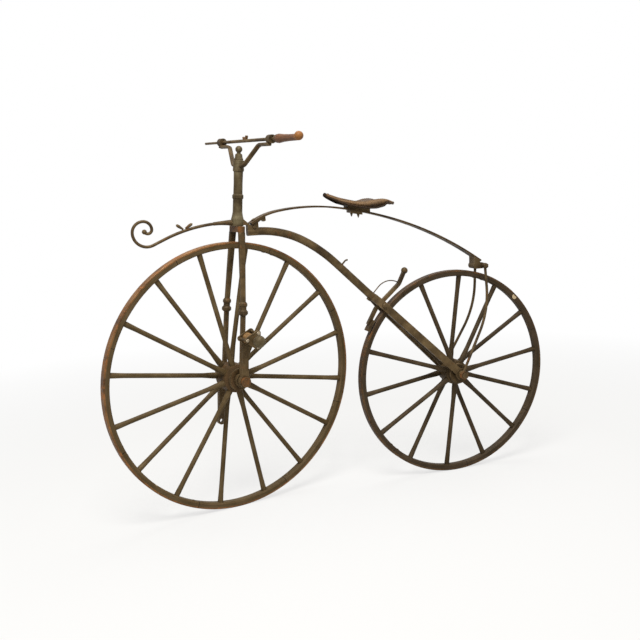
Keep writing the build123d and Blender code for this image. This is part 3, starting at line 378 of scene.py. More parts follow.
@dataclass(frozen=True)
class WornPaint(Finish):
    """Brown coach paint on ash, thin with age.

    The grain shows through along the piece, the joints of the felloes are dark
    lines, edges are rubbed to bare wood, hollows carry painted shade with grime
    and the paint has a dull sheen.
    """

    hub: Matrix = field(default_factory=Matrix)
    grain: Grain = Grain.RADIAL
    paint_dark: str = "#433520"
    paint_light: str = "#55452f"
    mauve: str = "#62503a"
    wood: str = "#83663f"
    # Near black of the painted shade with grime in hollows, and of the felloe joints
    shade_and_dirt: str = "#171008"
    reach: float = 0.45
    grain_mm: float = 3.2
    grain_long_mm: float = 110.0
    grain_share: float = 0.45
    cloud_mm: float = 70.0
    joints: int = 0
    joint_turn: float = 0.0
    joint_mm: float = 2.2
    chip_at: Point = (0.0, 0.0, 0.0)
    chip_mm: float = 0.0
    chip: str = "#c2ad8b"
    _: KW_ONLY
    rough_span: Span = (0.48, 0.7)
    edge_mm: float = 3.0
    edge_gain: float = 5.0
    shade_reach_mm: float = 10.0

    def polar(self, tree: Tree, place: Socket) -> tuple[Socket, ...]:
        """Angle, radius and offset along the axle of a point on the wheel.

        Args:
            tree: Node tree of the material.
            place: Object coordinates.

        Returns:
            The three values, in radians and metres.
        """
        back = self.hub.inverted()
        turned = add_node(
            tree, "Mapping",
            {"Vector": place, "Location": back.to_translation(), "Rotation": back.to_euler("XYZ")},
            vector_type="POINT",
        )
        part = add_node(tree, "SeparateXYZ", {0: turned.outputs[0]})
        angle = add_node(tree, "Math", {0: part.outputs["Y"], 1: part.outputs["X"]}, operation="ARCTAN2")
        flat = add_node(tree, "CombineXYZ", {0: part.outputs["X"], 1: part.outputs["Y"], 2: 0.0})
        radius = add_node(tree, "VectorMath", {0: flat.outputs[0]}, operation="LENGTH")
        return angle.outputs[0], radius.outputs["Value"], part.outputs["Z"]

    def paint(self, tree: Tree, place: Socket) -> Surface:
        """Grain, clouds, rubbed edges, painted shade with grime in hollows, joints and a chip.

        Args:
            tree: Node tree of the material.
            place: Object coordinates.

        Returns:
            The surface.
        """
        angle, radius, offset = self.polar(tree, place)
        radial = self.grain is Grain.RADIAL
        steps = (
            (angle, self.reach * scale_of(self.grain_mm if radial else self.grain_long_mm)),
            (radius, scale_of(self.grain_long_mm if radial else self.grain_mm)),
            (offset, scale_of(self.grain_mm)),
        )
        lines = [
            add_node(tree, "Math", {0: source, 1: times}, operation="MULTIPLY").outputs[0]
            for source, times in steps
        ]
        along = add_node(tree, "CombineXYZ", dict(enumerate(lines)))
        fibre = add_node(
            tree, "TexNoise",
            {"Vector": along.outputs[0], "Scale": 1.0, "Detail": 5.0, "Roughness": 0.65},
        ).outputs["Fac"]
        cloud = add_node(
            tree, "TexNoise",
            {"Vector": place, "Scale": scale_of(self.cloud_mm), "Detail": 5.0, "Roughness": 0.6},
        ).outputs["Fac"]
        tone = add_node(
            tree, "Mix", {0: self.grain_share, 2: cloud, 3: fibre}, data_type="FLOAT",
        ).outputs[0]
        body = add_node(
            tree, "ValToRGB", {"Fac": tone},
            stops=((0.36, self.paint_dark), (0.54, self.paint_light), (0.66, self.mauve)),
        )
        scuff = add_node(
            tree, "Math", {0: self.edges(tree), 1: fibre}, operation="MULTIPLY", use_clamp=True,
        )
        # Painted shade with grime, near black, in hollows, from occlusion
        coats = [(scuff.outputs[0], self.wood), (self.shade_and_dirt_mask(tree), self.shade_and_dirt)]
        if self.joints:
            # Felloe joints, real dark lines, in the same near black
            coats.append((self.jointed(tree, angle), self.shade_and_dirt))
        if self.chip_mm > 0:
            coats.append((self.chipped(tree, place, cloud), self.chip))
        return Surface(body.outputs["Color"], coats, tone, fibre)

    def jointed(self, tree: Tree, angle: Socket) -> Socket:
        """Thin lines across the rim where two felloes meet.

        Args:
            tree: Node tree of the material.
            angle: Angle round the wheel.

        Returns:
            A mask of the lines.
        """
        turns = self.joints / math.tau
        shift = 0.5 - self.joint_turn * turns + self.joints
        step = add_node(tree, "Math", {0: angle, 1: turns, 2: shift}, operation="MULTIPLY_ADD")
        share = add_node(tree, "Math", {0: step.outputs[0]}, operation="FRACT")
        half = self.joint_mm * MM / 2 / self.reach * turns
        line = add_node(tree, "Math", {0: share.outputs[0], 1: 0.5, 2: half}, operation="COMPARE")
        return line.outputs[0]

    def chipped(self, tree: Tree, place: Socket, cloud: Socket) -> Socket:
        """Ragged spot where the paint has come off.

        Args:
            tree: Node tree of the material.
            place: Object coordinates.
            cloud: Noise that breaks the outline.

        Returns:
            A mask of the spot.
        """
        away = add_node(tree, "VectorMath", {0: place, 1: self.chip_at}, operation="DISTANCE")
        # The noise lies about a half, so that twice the size keeps the spot's own
        ragged = add_node(tree, "Math", {0: cloud, 1: self.chip_mm * MM * 2}, operation="MULTIPLY")
        inside = add_node(
            tree, "Math", {0: away.outputs["Value"], 1: ragged.outputs[0]}, operation="LESS_THAN",
        )
        return inside.outputs[0]


@dataclass(frozen=True)
class TurnedWood(Finish):
    """Lathe-turned fruitwood, oiled by hands.

    Warm brown with darker streaks along the turning, a paler gold end, painted
    shade with grime in hollows and a soft gloss on the worn swell.
    """

    axis: Matrix = field(default_factory=Matrix)
    dark: str = "#442812"
    light: str = "#744e33"
    end: str = "#8f5e2e"
    # Dark brown of the painted shade with grime in hollows and creases
    shade_and_dirt: str = "#2a1709"
    end_from: float = 1.0
    end_blend: float = 0.012
    end_cover: float = 0.8
    streak_mm: float = 3.0
    streak_long_mm: float = 28.0
    _: KW_ONLY
    specular: float = 0.2
    rough_span: Span = (0.35, 0.58)
    relief_mm: float = 0.25
    shade_reach_mm: float = 6.0

    def paint(self, tree: Tree, place: Socket) -> Surface:
        """Streaks along the turning, the paler end and painted shade with grime in hollows.

        Args:
            tree: Node tree of the material.
            place: Object coordinates.

        Returns:
            The surface.
        """
        back = self.axis.inverted()
        turned = add_node(
            tree, "Mapping",
            {"Vector": place, "Location": back.to_translation(), "Rotation": back.to_euler("XYZ")},
            vector_type="POINT",
        )
        fine = scale_of(self.streak_mm)
        squeezed = add_node(
            tree, "VectorMath",
            {0: turned.outputs[0], 1: (fine, scale_of(self.streak_long_mm), fine)},
            operation="MULTIPLY",
        )
        grain = add_node(
            tree, "TexNoise",
            {
                "Vector": squeezed.outputs[0],
                "Scale": 1.0,
                "Detail": 5.0,
                "Roughness": 0.65,
                "Distortion": 0.6,
            },
        ).outputs["Fac"]
        tone = add_node(
            tree, "ValToRGB", {"Fac": grain}, stops=((0.32, self.dark), (0.66, self.light)),
        )
        part = add_node(tree, "SeparateXYZ", {0: turned.outputs[0]})
        pale = add_node(
            tree, "MapRange",
            {
                "Value": part.outputs["Y"],
                "From Min": self.end_from,
                "From Max": self.end_from + self.end_blend,
                "To Max": self.end_cover,
            },
        )
        # Painted shade with grime in hollows and creases, from occlusion
        coats = [(pale.outputs[0], self.end), (self.shade_and_dirt_mask(tree), self.shade_and_dirt)]
        return Surface(tone.outputs["Color"], coats, grain, grain)


@dataclass(frozen=True)
class WaxedThread(TurnedWood):
    """Waxed linen thread, straw brown and flecked, with dark brown painted shade where it lies in a
    crease.
    """

    dark: str = "#5d4a30"
    light: str = "#8d7750"
    streak_mm: float = 1.2
    streak_long_mm: float = 1.2


@dataclass(frozen=True)
class DryLeather(Finish):
    """Vegetable-tanned saddle leather, dry and cracked.

    Brown, rubbed paler along the rim, with painted shade, nearly black, on the
    lower skirt, the nose tip and the hem, with a net of fine cracks and a low sheen.
    """

    dark: str = "#241606"
    middle: str = "#50381d"
    light: str = "#785737"
    rubbed: str = "#896d4f"
    # Painted shade, nearly black, on the lower skirt, the nose tip and the hem
    hem: str = "#190f05"
    cloud_mm: float = 45.0
    crack_mm: float = 12.0
    crack_share: float = 0.06
    pore_mm: float = 1.8
    rub_at: float = 0.77
    rub_width: float = 0.13
    rub_cover: float = 0.7
    hem_shade_span: Span = (0.84, 0.97)
    hem_shade_cover: float = 0.85
    _: KW_ONLY
    relief_mm: float = 0.5

    def paint(self, tree: Tree, place: Socket) -> Surface:
        """Clouds, cracks, a rubbed rim and painted shade on the lower skirt and hem.

        Args:
            tree: Node tree of the material.
            place: Object coordinates.

        Returns:
            The surface.
        """
        cloud = add_node(
            tree, "TexNoise",
            {"Vector": place, "Scale": scale_of(self.cloud_mm), "Detail": 6.0, "Roughness": 0.65},
        ).outputs["Fac"]
        tone = add_node(
            tree, "ValToRGB", {"Fac": cloud},
            stops=((0.3, self.dark), (0.5, self.middle), (0.72, self.light)),
        )
        net = add_node(
            tree, "TexVoronoi", {"Vector": place, "Scale": scale_of(self.crack_mm), "Randomness": 1.0},
            feature="DISTANCE_TO_EDGE",
        )
        crack = add_node(
            tree, "MapRange",
            {"Value": net.outputs["Distance"], "From Max": self.crack_share, "To Min": 1.0, "To Max": 0.0},
        )
        pore = add_node(
            tree, "TexNoise", {"Vector": place, "Scale": scale_of(self.pore_mm), "Detail": 3.0},
        )
        near = add_node(tree, "Attribute", attribute_name=RIM_MARK).outputs["Fac"]
        off_rim = add_node(tree, "Math", {0: near, 1: self.rub_at}, operation="SUBTRACT")
        beside = add_node(tree, "Math", {0: off_rim.outputs[0]}, operation="ABSOLUTE")
        worn = add_node(
            tree, "MapRange",
            {
                "Value": beside.outputs[0],
                "From Max": self.rub_width,
                "To Min": self.rub_cover,
                "To Max": 0.0,
            },
        )
        # Mask of the painted shade on the lower skirt, nose tip and hem, from the rim mark
        low = add_node(
            tree, "MapRange",
            {
                "Value": near,
                "From Min": self.hem_shade_span[0],
                "From Max": self.hem_shade_span[1],
                "To Max": self.hem_shade_cover,
            },
        )
        relief = add_node(
            tree, "Math", {0: pore.outputs["Fac"], 1: crack.outputs[0]}, operation="SUBTRACT",
        )
        coats = [
            (crack.outputs[0], self.dark),
            (worn.outputs[0], self.rubbed),
            # Painted shade, nearly black, under the skirt and on the hem
            (low.outputs[0], self.hem),
        ]
        return Surface(tone.outputs["Color"], coats, cloud, relief.outputs[0])


@dataclass(frozen=True)
class Materials:
    """Finishes that the sub-assemblies share."""

    iron: bpy.types.Material
    head_iron: bpy.types.Material
    rusty: bpy.types.Material
    spring: bpy.types.Material
    bright: bpy.types.Material
    pedal_wood: bpy.types.Material
    grip_wood: bpy.types.Material
    leather: bpy.types.Material
    thread: bpy.types.Material


def shared_materials() -> Materials:
    """Makes the finishes that are used on several pieces.

    Returns:
        The finishes by use.
    """
    return Materials(
        iron=OldIron("wrought_iron_patina").build(),
        head_iron=OldIron("wrought_iron_olive", dark="#382d1b", middle="#524630", light="#71674d",
                          rust_from=0.64).build(),
        rusty=OldIron("wrought_iron_rusted", dark="#382513", middle="#573e24", light="#6f4e2d",
                      rust="#7f5029", rust_from=0.5, metal=0.15).build(),
        spring=OldIron("spring_steel_browned", dark="#251a0b", middle="#402f17", light="#57442a",
                       rust="#5c3b1c", rust_from=0.62).build(),
        bright=OldIron("iron_rubbed_bright", dark="#7d7161", middle="#a89981", light="#cbbda6",
                       rust_from=0.66, metal=0.6).build(),
        pedal_wood=TurnedWood("turned_boxwood", axis=front_hub() @ HUB_TURN.inverted(),
                              dark="#5f4526", light="#97744a").build(),
        grip_wood=TurnedWood("turned_fruitwood", axis=head_frame(), end_from=0.324).build(),
        leather=DryLeather("saddle_leather_dry").build(),
        thread=WaxedThread("waxed_linen_thread").build(),
    )


def clear_selection() -> None:
    """Leaves edit mode and deselects everything."""
    if bpy.context.object and bpy.context.object.mode != "OBJECT":
        bpy.ops.object.mode_set(mode="OBJECT")
    bpy.ops.object.select_all(action="DESELECT")


def only(piece: bpy.types.Object) -> None:
    """Makes one object the selected and active one.

    Args:
        piece: Object to work on.
    """
    clear_selection()
    piece.select_set(True)
    bpy.context.view_layer.objects.active = piece


def settle(piece: bpy.types.Object, place: Matrix) -> None:
    """Puts a piece in place and keeps that place in its mesh.

    Args:
        piece: New mesh object.
        place: Frame that the piece was modelled in.
    """
    only(piece)
    piece.matrix_world = place @ piece.matrix_world
    bpy.ops.object.transform_apply(location=True, rotation=True, scale=True)


def enlist(
    piece: bpy.types.Object,
    name: str,
    body: Body,
    material: bpy.types.Material,
    smooth_deg: float = 35.0,
) -> bpy.types.Object:
    """Names a finished piece, gives it its finish and lets it ride.

    Args:
        piece: Finished mesh object in place.
        name: Plain name.
        body: Body that it moves with.
        material: Its finish.
        smooth_deg: Edges under this angle are shaded smooth.

    Returns:
        The piece.
    """
    only(piece)
    bpy.ops.object.shade_smooth_by_angle(angle=math.radians(smooth_deg))
    piece.name = name
    piece.data.name = name
    piece.data.materials.clear()
    piece.data.materials.append(material)
    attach(piece, body.value)
    log.info("piece %s on %s, %d faces", name, body.value, len(piece.data.polygons))
    return piece


def facing(at: Vector, way: Vector) -> Matrix:
    """Frame at a point whose z runs along a direction.

    Args:
        at: Origin of the frame.
        way: Direction of its z axis.

    Returns:
        The frame.
    """
    return Matrix.Translation(at) @ way.to_track_quat("Z", "Y").to_matrix().to_4x4()


def pick_faces(piece: bpy.types.Object, test: Callable[[bpy.types.MeshPolygon], bool]) -> None:
    """Opens edit mode with the faces selected that pass a test.

    Args:
        piece: Mesh object.
        test: Says which faces are wanted.
    """
    only(piece)
    mesh = piece.data
    for parts in (mesh.vertices, mesh.edges, mesh.polygons):
        parts.foreach_set("select", [False] * len(parts))
    for face in mesh.polygons:
        face.select = test(face)
    bpy.context.tool_settings.mesh_select_mode = (False, False, True)
    bpy.ops.object.mode_set(mode="EDIT")


def turned_piece(profile_mm: Profile, sides: int) -> bpy.types.Object:
    """Draws a disc up a profile of heights and radii, as on a lathe or in a vice.

    Args:
        profile_mm: Height and radius of each step, from the foot up.
        sides: Corners of the disc: 4 or 6 for a nut, more for a turning.

    Returns:
        A closed mesh that stands on the origin along z.
    """
    clear_selection()
    height, radius = profile_mm[0]
    bpy.ops.mesh.primitive_circle_add(
        vertices=sides, radius=radius * MM, fill_type="NGON", location=(0, 0, height * MM),
    )
    piece = bpy.context.object
    bpy.ops.object.transform_apply(location=True, rotation=True, scale=True)
    pick_faces(piece, lambda face: True)
    for next_height, next_radius in profile_mm[1:]:
        bpy.ops.mesh.extrude_region_move(
            TRANSFORM_OT_translate={"value": (0, 0, (next_height - height) * MM)},
        )
        share = next_radius / radius
        bpy.ops.transform.resize(value=(share, share, 1), center_override=(0, 0, next_height * MM))
        height, radius = next_height, next_radius
    bpy.ops.mesh.select_all(action="SELECT")
    bpy.ops.mesh.normals_make_consistent(inside=False)
    bpy.ops.object.mode_set(mode="OBJECT")
    return piece


def repeat(model: bpy.types.Object, places: list[Matrix]) -> bpy.types.Object:
    """Copies a model to several places and joins the copies.

    Args:
        model: Mesh object modelled at the origin, used up here.
        places: Frame of each copy.

    Returns:
        One object with all the copies.
    """
    copies = []
    for place in places:
        twin = model.copy()
        twin.data = model.data.copy()
        bpy.context.scene.collection.objects.link(twin)
        settle(twin, place)
        copies.append(twin)
    bpy.data.objects.remove(model)
    clear_selection()
    for twin in copies:
        twin.select_set(True)
    bpy.context.view_layer.objects.active = copies[0]
    bpy.ops.object.join()
    return bpy.context.object


@dataclass
class SubAssembly:
    """Pieces that are made and dressed together."""

    materials: Materials

    def dress(self, material: bpy.types.Material, *nodes: str) -> None:
        """Gives carried-over nodes a finish.

        Args:
            material: Finish to give.
            nodes: Node names.
        """
        for name in nodes:
            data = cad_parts[name].data
            data.materials.clear()
            data.materials.append(material)
            log.info("dressed %s in %s", name, material.name)

    def make(self) -> None:
        """Builds and dresses the pieces."""
        raise NotImplementedError


@dataclass(frozen=True)
class WheelPaint:
    """Colours of a wheel, dark, middle and light of each part."""

    rim: Tones
    spokes: Tones
    nave: Tones
    tyre: Tones
    rust: str
    wood: str


FRONT_PAINT = WheelPaint(
    rim=("#45371f", "#584830", "#67543b"),
    spokes=("#42341c", "#594930", "#706044"),
    nave=("#362913", "#543f28", "#66543b"),
    tyre=("#4a311b", "#6f4d2b", "#8a623b"),
    rust="#9a6236",
    wood="#7d603b",
)
REAR_PAINT = WheelPaint(
    rim=("#302616", "#423628", "#514433"),
    spokes=("#2e2413", "#443726", "#5a4c37"),
    nave=("#2c2211", "#4a3a23", "#5d4c33"),
    tyre=("#2f2214", "#44321f", "#57412a"),
    rust="#64411f",
    wood="#66502f",
)


@dataclass
class Wheel(SubAssembly):
    """A wooden wheel with its bolted iron tyre."""

    side: str
    hub: Matrix
    body: Body
    radius: float
    spokes: int
    spoke_turn: float
    paint: WheelPaint
    chip_at: Point
    chip_mm: float
    nave_reach: float = 0.04
    nave_grain_mm: float = 40.0
    rim_mm: float = 22.0
    bolt_gap_mm: float = 17.0
    head_mm: Profile = ((-2.0, 6.0), (0.7, 6.0), (1.5, 4.8), (1.9, 2.2))

    def joint_turn(self) -> float:
        """Angle of the first joint, half-way between two spokes."""
        return math.radians(self.spoke_turn + 180.0 / self.spokes)

    def tyre_bolts(self) -> None:
        """Low bolt heads inside the rim, one on each side of a felloe joint."""
        joints = self.spokes // 2
        inner = self.radius - self.rim_mm * MM
        beside = self.bolt_gap_mm * MM / inner
        places = []
        for index in range(joints):
            for hand in (-1, 1):
                turn = self.joint_turn() + math.tau * index / joints + hand * beside
                out = Vector((math.cos(turn), math.sin(turn), 0))
                places.append(self.hub @ facing(out * inner, -out))
        bolts = repeat(turned_piece(self.head_mm, sides=12), places)
        enlist(bolts, self.side + "_tyre_bolts", self.body, self.materials.iron)

    def make(self) -> None:
        """Paints the wood, dresses the iron and adds the tyre bolts."""
        rim = WornPaint(
            self.side + "_felloe_paint", self.hub, Grain.ROUND, *self.paint.rim, self.paint.wood,
            reach=self.radius, joints=self.spokes // 2, joint_turn=self.joint_turn(),
            chip_at=self.chip_at, chip_mm=self.chip_mm,
        ).build()
        spokes = WornPaint(
            self.side + "_spoke_paint", self.hub, Grain.RADIAL, *self.paint.spokes, self.paint.wood,
            reach=self.radius / 2,
        ).build()
        nave = WornPaint(
            self.side + "_nave_paint", self.hub, Grain.RADIAL, *self.paint.nave, self.paint.wood,
            reach=self.nave_reach, grain_long_mm=self.nave_grain_mm,
        ).build()
        tyre = OldIron(
            self.side + "_tyre_rusted", *self.paint.tyre, self.paint.rust, rust_from=0.52, metal=0.2,
        ).build()
        parts = {
            "_felloe": rim,
            "_spokes": spokes,
            "_nave": nave,
            "_tyre": tyre,
            "_nave_bands": self.materials.iron,
        }
        for part, material in parts.items():
            self.dress(material, self.side + part)
        self.tyre_bolts()


@dataclass(frozen=True)
class SaddleRow:
    """Cross-section of the saddle: place along it, half width, heights and skirt."""

    place: float
    half: float
    middle: float
    rim: float
    skirt: float


@dataclass
class Saddle(SubAssembly):
    """Moulded leather saddle with its block, clamp and rivets."""

    rows: tuple[SaddleRow, ...] = (
        SaddleRow(126.0, 9.0, 37.0, 34.0, 4.0),
        SaddleRow(110.0, 19.0, 34.0, 28.0, 8.0),
        SaddleRow(75.0, 26.0, 21.0, 13.0, 11.0),
        SaddleRow(15.0, 46.0, 6.0, 3.0, 19.0),
        SaddleRow(-15.0, 61.0, 5.0, 5.0, 27.0),
        SaddleRow(-40.0, 72.0, 6.0, 13.0, 36.0),
        SaddleRow(-66.0, 76.0, 7.0, 14.0, 31.0),
        SaddleRow(-78.0, 75.0, 6.0, 10.0, 9.0),
        SaddleRow(-95.0, 68.0, 3.0, 4.0, 5.0),
        SaddleRow(-114.0, 50.0, -3.0, -3.0, 3.0),
        SaddleRow(-123.0, 17.0, -10.0, -10.0, 1.0),
    )
    lengthwise: int = 34
    crosswise: int = 16
    thick_mm: float = 6.0
    hem_mm: float = 3.4
    hem_drop_mm: float = 1.0
    hem_mark: float = 0.95
    lip_mark: float = 0.82
    lip_from: float = 0.84
    rim_out: float = 0.75
    flare: float = 0.05
    valley_mm: float = 1.0
    valley_out: float = 0.3
    tail_from: float = 0.55
    tail_blend: float = 0.3
    nose_share: float = 1 / 14
    stitch_out: float = 0.64
    stitch_span: Span = (0.07, 0.9)
    stitch_step_mm: float = 8.0
    stitch_mm: Profile = ((-2.8, 0.3), (-1.9, 0.8), (1.9, 0.8), (2.8, 0.3))
    stitch_look: float = 0.02
    frill_mm: float = 2.6
    frill_turns: float = 52.0
    frill_skew: float = 2.0
    rivet_mm: Profile = ((-3.0, 4.5), (0.3, 4.5), (0.9, 3.8), (1.4, 2.2), (1.5, 0.8))
    rivet_spots: Profile = ((0.05, 0.0), (0.93, 0.42), (0.93, -0.42))

    def row_at(self, share: float) -> SaddleRow:
        """Cross-section at a share of the length.

        Args:
            share: 0 at the nose, 1 at the tail.

        Returns:
            The cross-section between the two nearest ones.
        """
        nose, end = self.rows[0].place, self.rows[-1].place
        place = nose + (end - nose) * share
        index = 0
        while index < len(self.rows) - 2 and place < self.rows[index + 1].place:
            index += 1
        fore, aft = self.rows[index], self.rows[index + 1]
        part = (fore.place - place) / (fore.place - aft.place)
        return SaddleRow(*(a + (b - a) * part for a, b in zip(astuple(fore), astuple(aft))))

    def point(self, share: float, out: float) -> Vector:
        """Point on the top or the skirt of the saddle.

        Args:
            share: 0 at the nose, 1 at the tail.
            out: -1 at the hem of the right skirt, 1 at that of the left one.

        Returns:
            The point, in metres.
        """
        row = self.row_at(share)
        tail = min(1.0, max(0.0, (share - self.tail_from) / self.tail_blend))
        valley = self.valley_mm * tail * math.exp(-((out / self.valley_out) ** 2))
        across = math.copysign(min(1.0, abs(out) / self.rim_out), out)
        fall = max(0.0, (abs(out) - self.rim_out) / (1 - self.rim_out))
        frill = self.frill_mm * tail * math.sin(share * self.frill_turns + out * self.frill_skew)
        top = row.middle - (row.middle - row.rim) * across * across - valley
        wide = row.half * across * (1 - self.flare * (1 - fall))
        return Vector((row.place, wide, top - (row.skirt - frill) * fall)) * MM

    def cover(self) -> bpy.types.Object:
        """Leather sheet moved to the saddle's form, with a wall and a rolled hem.

        Returns:
            The finished cover.
        """
        clear_selection()
        bpy.ops.mesh.primitive_grid_add(
            x_subdivisions=self.lengthwise, y_subdivisions=self.crosswise, size=2.0,
        )
        cover = bpy.context.object
        mesh = cover.data
        mark = mesh.attributes.new(RIM_MARK, "FLOAT", "POINT")
        for vertex in mesh.vertices:
            along, out = (1 - vertex.co.x) / 2, vertex.co.y
            near = max(abs(out), 1 - along / self.nose_share)
            most = 1.0 if along < self.lip_from else self.lip_mark
            mark.data[vertex.index].value = min(near, most)
            vertex.co = self.point(along, out)
        only(cover)
        bpy.ops.object.mode_set(mode="EDIT")
        bpy.ops.mesh.select_all(action="SELECT")
        bpy.ops.mesh.vertices_smooth(factor=0.5, repeat=2)
        bpy.ops.mesh.select_all(action="DESELECT")
        bpy.context.tool_settings.mesh_select_mode = (False, True, False)
        bpy.ops.mesh.select_non_manifold(extend=False)
        bpy.ops.mesh.duplicate()
        bpy.ops.mesh.separate(type="SELECTED")
        bpy.ops.object.mode_set(mode="OBJECT")
        hem = next(item for item in bpy.context.selected_objects if item != cover)
        self.roll(hem)
        only(cover)
        wall = cover.modifiers.new("wall", "SOLIDIFY")
        wall.thickness = self.thick_mm * MM
        wall.offset = -1.0
        soft = cover.modifiers.new("soft", "SUBSURF")
        soft.levels = soft.render_levels = 1
        for modifier in (wall.name, soft.name):
            bpy.ops.object.modifier_apply(modifier=modifier)
        hem.select_set(True)
        bpy.ops.object.join()
        return cover

    def roll(self, hem: bpy.types.Object) -> None:
        """Turns the loop of hem edges into a rolled leather edge.

        Args:
            hem: Loop of edges, made a closed tube here.
        """
        only(hem)
        bpy.ops.object.convert(target="CURVE")
        hem.data.bevel_depth = self.hem_mm * MM
        hem.data.bevel_resolution = 3
        bpy.ops.object.convert(target="MESH")
        bpy.ops.object.mode_set(mode="EDIT")
        bpy.ops.mesh.select_all(action="SELECT")
        bpy.ops.transform.translate(value=(0, 0, -self.hem_drop_mm * MM))
        bpy.ops.mesh.remove_doubles(threshold=MM / 100)
        bpy.ops.mesh.normals_make_consistent(inside=False)
        bpy.ops.object.mode_set(mode="OBJECT")
        mark = hem.data.attributes.new(RIM_MARK, "FLOAT", "POINT")
        lip = self.row_at(self.lip_from).place * MM
        for vertex, value in zip(hem.data.vertices, mark.data):
            value.value = self.hem_mark if vertex.co.x > lip else self.lip_mark

    def stitches(self, cover: bpy.types.Object) -> bpy.types.Object:
        """Waxed thread sewn through the cover, in a row inside the rim.

        Args:
            cover: Finished cover, which the stitches lie on.

        Returns:
            The stitches as one piece.
        """
        first, last = self.stitch_span
        count = round((last - first) * (self.rows[0].place - self.rows[-1].place) / self.stitch_step_mm)
        places = []
        for hand in (-1, 1):
            for index in range(count):
                share = first + (last - first) * index / count
                start = self.point(share, hand * self.stitch_out)
                way = self.point(share + self.stitch_look, hand * self.stitch_out) - start
                above = start + Vector((0, 0, self.thick_mm * 2 * MM))
                found, spot, _, _ = cover.ray_cast(above, Vector((0, 0, -1)))
                if found:
                    places.append(facing(spot, way))
        return repeat(turned_piece(self.stitch_mm, sides=6), places)

    def rivets(self) -> bpy.types.Object:
        """Domed rivets at the nose and the tail.

        Returns:
            The rivets as one piece.
        """
        places = [facing(self.point(*spot), Vector((0, 0, 1))) for spot in self.rivet_spots]
        return repeat(turned_piece(self.rivet_mm, sides=14), places)

    def make(self) -> None:
        """Builds the cover, its stitches and rivets, and dresses the iron."""
        cover = self.cover()
        enlist(cover, "saddle_cover", Body.FRAME, self.materials.leather, smooth_deg=60.0)
        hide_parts("saddle_leather")
        enlist(self.stitches(cover), "saddle_stitches", Body.FRAME, self.materials.thread)
        enlist(self.rivets(), "saddle_rivets", Body.FRAME, self.materials.iron)
        self.dress(self.materials.iron, "saddle_block", "saddle_clamp")


@dataclass
class Steering(SubAssembly):
    """Fork, yoke and handlebar."""

    bar_sweep: float = 0.0225
    bar_up: float = 0.788
    ferrule_at: float = 0.2085
    ferrule_mm: Profile = ((0.0, 10.0), (0.8, 12.6), (3.4, 12.9), (4.2, 12.2), (5.2, 12.9), (8.0, 13.6))

    def make(self) -> None:
        """Dresses the steering and adds the ferrule of the grip."""
        self.dress(
            self.materials.iron, "fork_leg_left", "fork_leg_right", "handlebar", "yoke_arm_left",
            "yoke_arm_right",
        )
        self.dress(self.materials.rusty, "fork_crown", "handlebar_hook")
        self.dress(self.materials.head_iron, "handlebar_yoke", "finial_nut")
        self.dress(self.materials.grip_wood, "left_grip")
        foot = Vector((-self.bar_sweep, self.ferrule_at, self.bar_up))
        place = head_frame() @ facing(foot, Vector((0, 1, 0)))
        ferrule = repeat(turned_piece(self.ferrule_mm, sides=28), [place])
        enlist(ferrule, "grip_ferrule", Body.STEERING, self.materials.iron)


@dataclass
class Backbone(SubAssembly):
    """Backbone, head, spring and stays."""

    spring_bolt: Point = (0.3836, 0.0, -0.0391)
    spring_bolt_way: Point = (0.545, 0.0, 0.839)
    post_bolt: Point = (0.3845, 0.012, -0.062)
    bolt_mm: Profile = ((-2.0, 6.0), (2.0, 6.0), (3.6, 4.8), (4.2, 2.4))
    cross_end: Point = (-0.482, 0.0405, -0.254)
    pin_mm: Profile = ((-4.0, 7.5), (0.5, 7.5), (1.8, 6.2), (2.4, 3.0))
    nut_mm: Profile = ((-4.0, 10.5), (3.4, 10.5), (4.4, 9.0), (4.4, 5.2), (6.6, 4.9), (7.0, 3.8))

    @staticmethod
    def both_sides(left: Point) -> list[Matrix]:
        """Frames that face outwards on the two sides of the frame.

        Args:
            left: Point on the left side.

        Returns:
            The frames on the right and on the left.
        """
        x, y, z = left
        return [facing(Vector((x, hand * y, z)), Vector((0, hand, 0))) for hand in (-1, 1)]

    def make(self) -> None:
        """Dresses the frame and adds its bolts, nuts and pin heads."""
        self.dress(
            self.materials.iron, "backbone", "rear_fork_left", "rear_fork_right", "front_scroll",
            "spring_post", "rear_crossbar", "rear_shackle", "rear_stay_left", "rear_stay_right",
            "rear_axle", "brake_lever", "brake_pivot", "brake_shoe", "cord_peg", "brake_wire",
        )
        self.dress(self.materials.spring, "saddle_spring")
        self.dress(self.materials.head_iron, "head_socket")
        self.dress(self.materials.rusty, "rear_axle_nuts")
        over = facing(Vector(self.spring_bolt), Vector(self.spring_bolt_way))
        bolts = repeat(turned_piece(self.bolt_mm, sides=12), [over, *self.both_sides(self.post_bolt)])
        enlist(bolts, "post_bolts", Body.FRAME, self.materials.iron)
        nuts = repeat(turned_piece(self.nut_mm, sides=6), self.both_sides(self.cross_end))
        enlist(nuts, "crossbar_nuts", Body.FRAME, self.materials.iron)
        low, high = (Vector(corner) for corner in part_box("brake_pivot"))
        middle = (low + high) / 2
        pins = self.both_sides((middle.x, high.y, middle.z))
        heads = repeat(turned_piece(self.pin_mm, sides=12), pins)
        enlist(heads, "brake_pivot_heads", Body.FRAME, self.materials.iron)


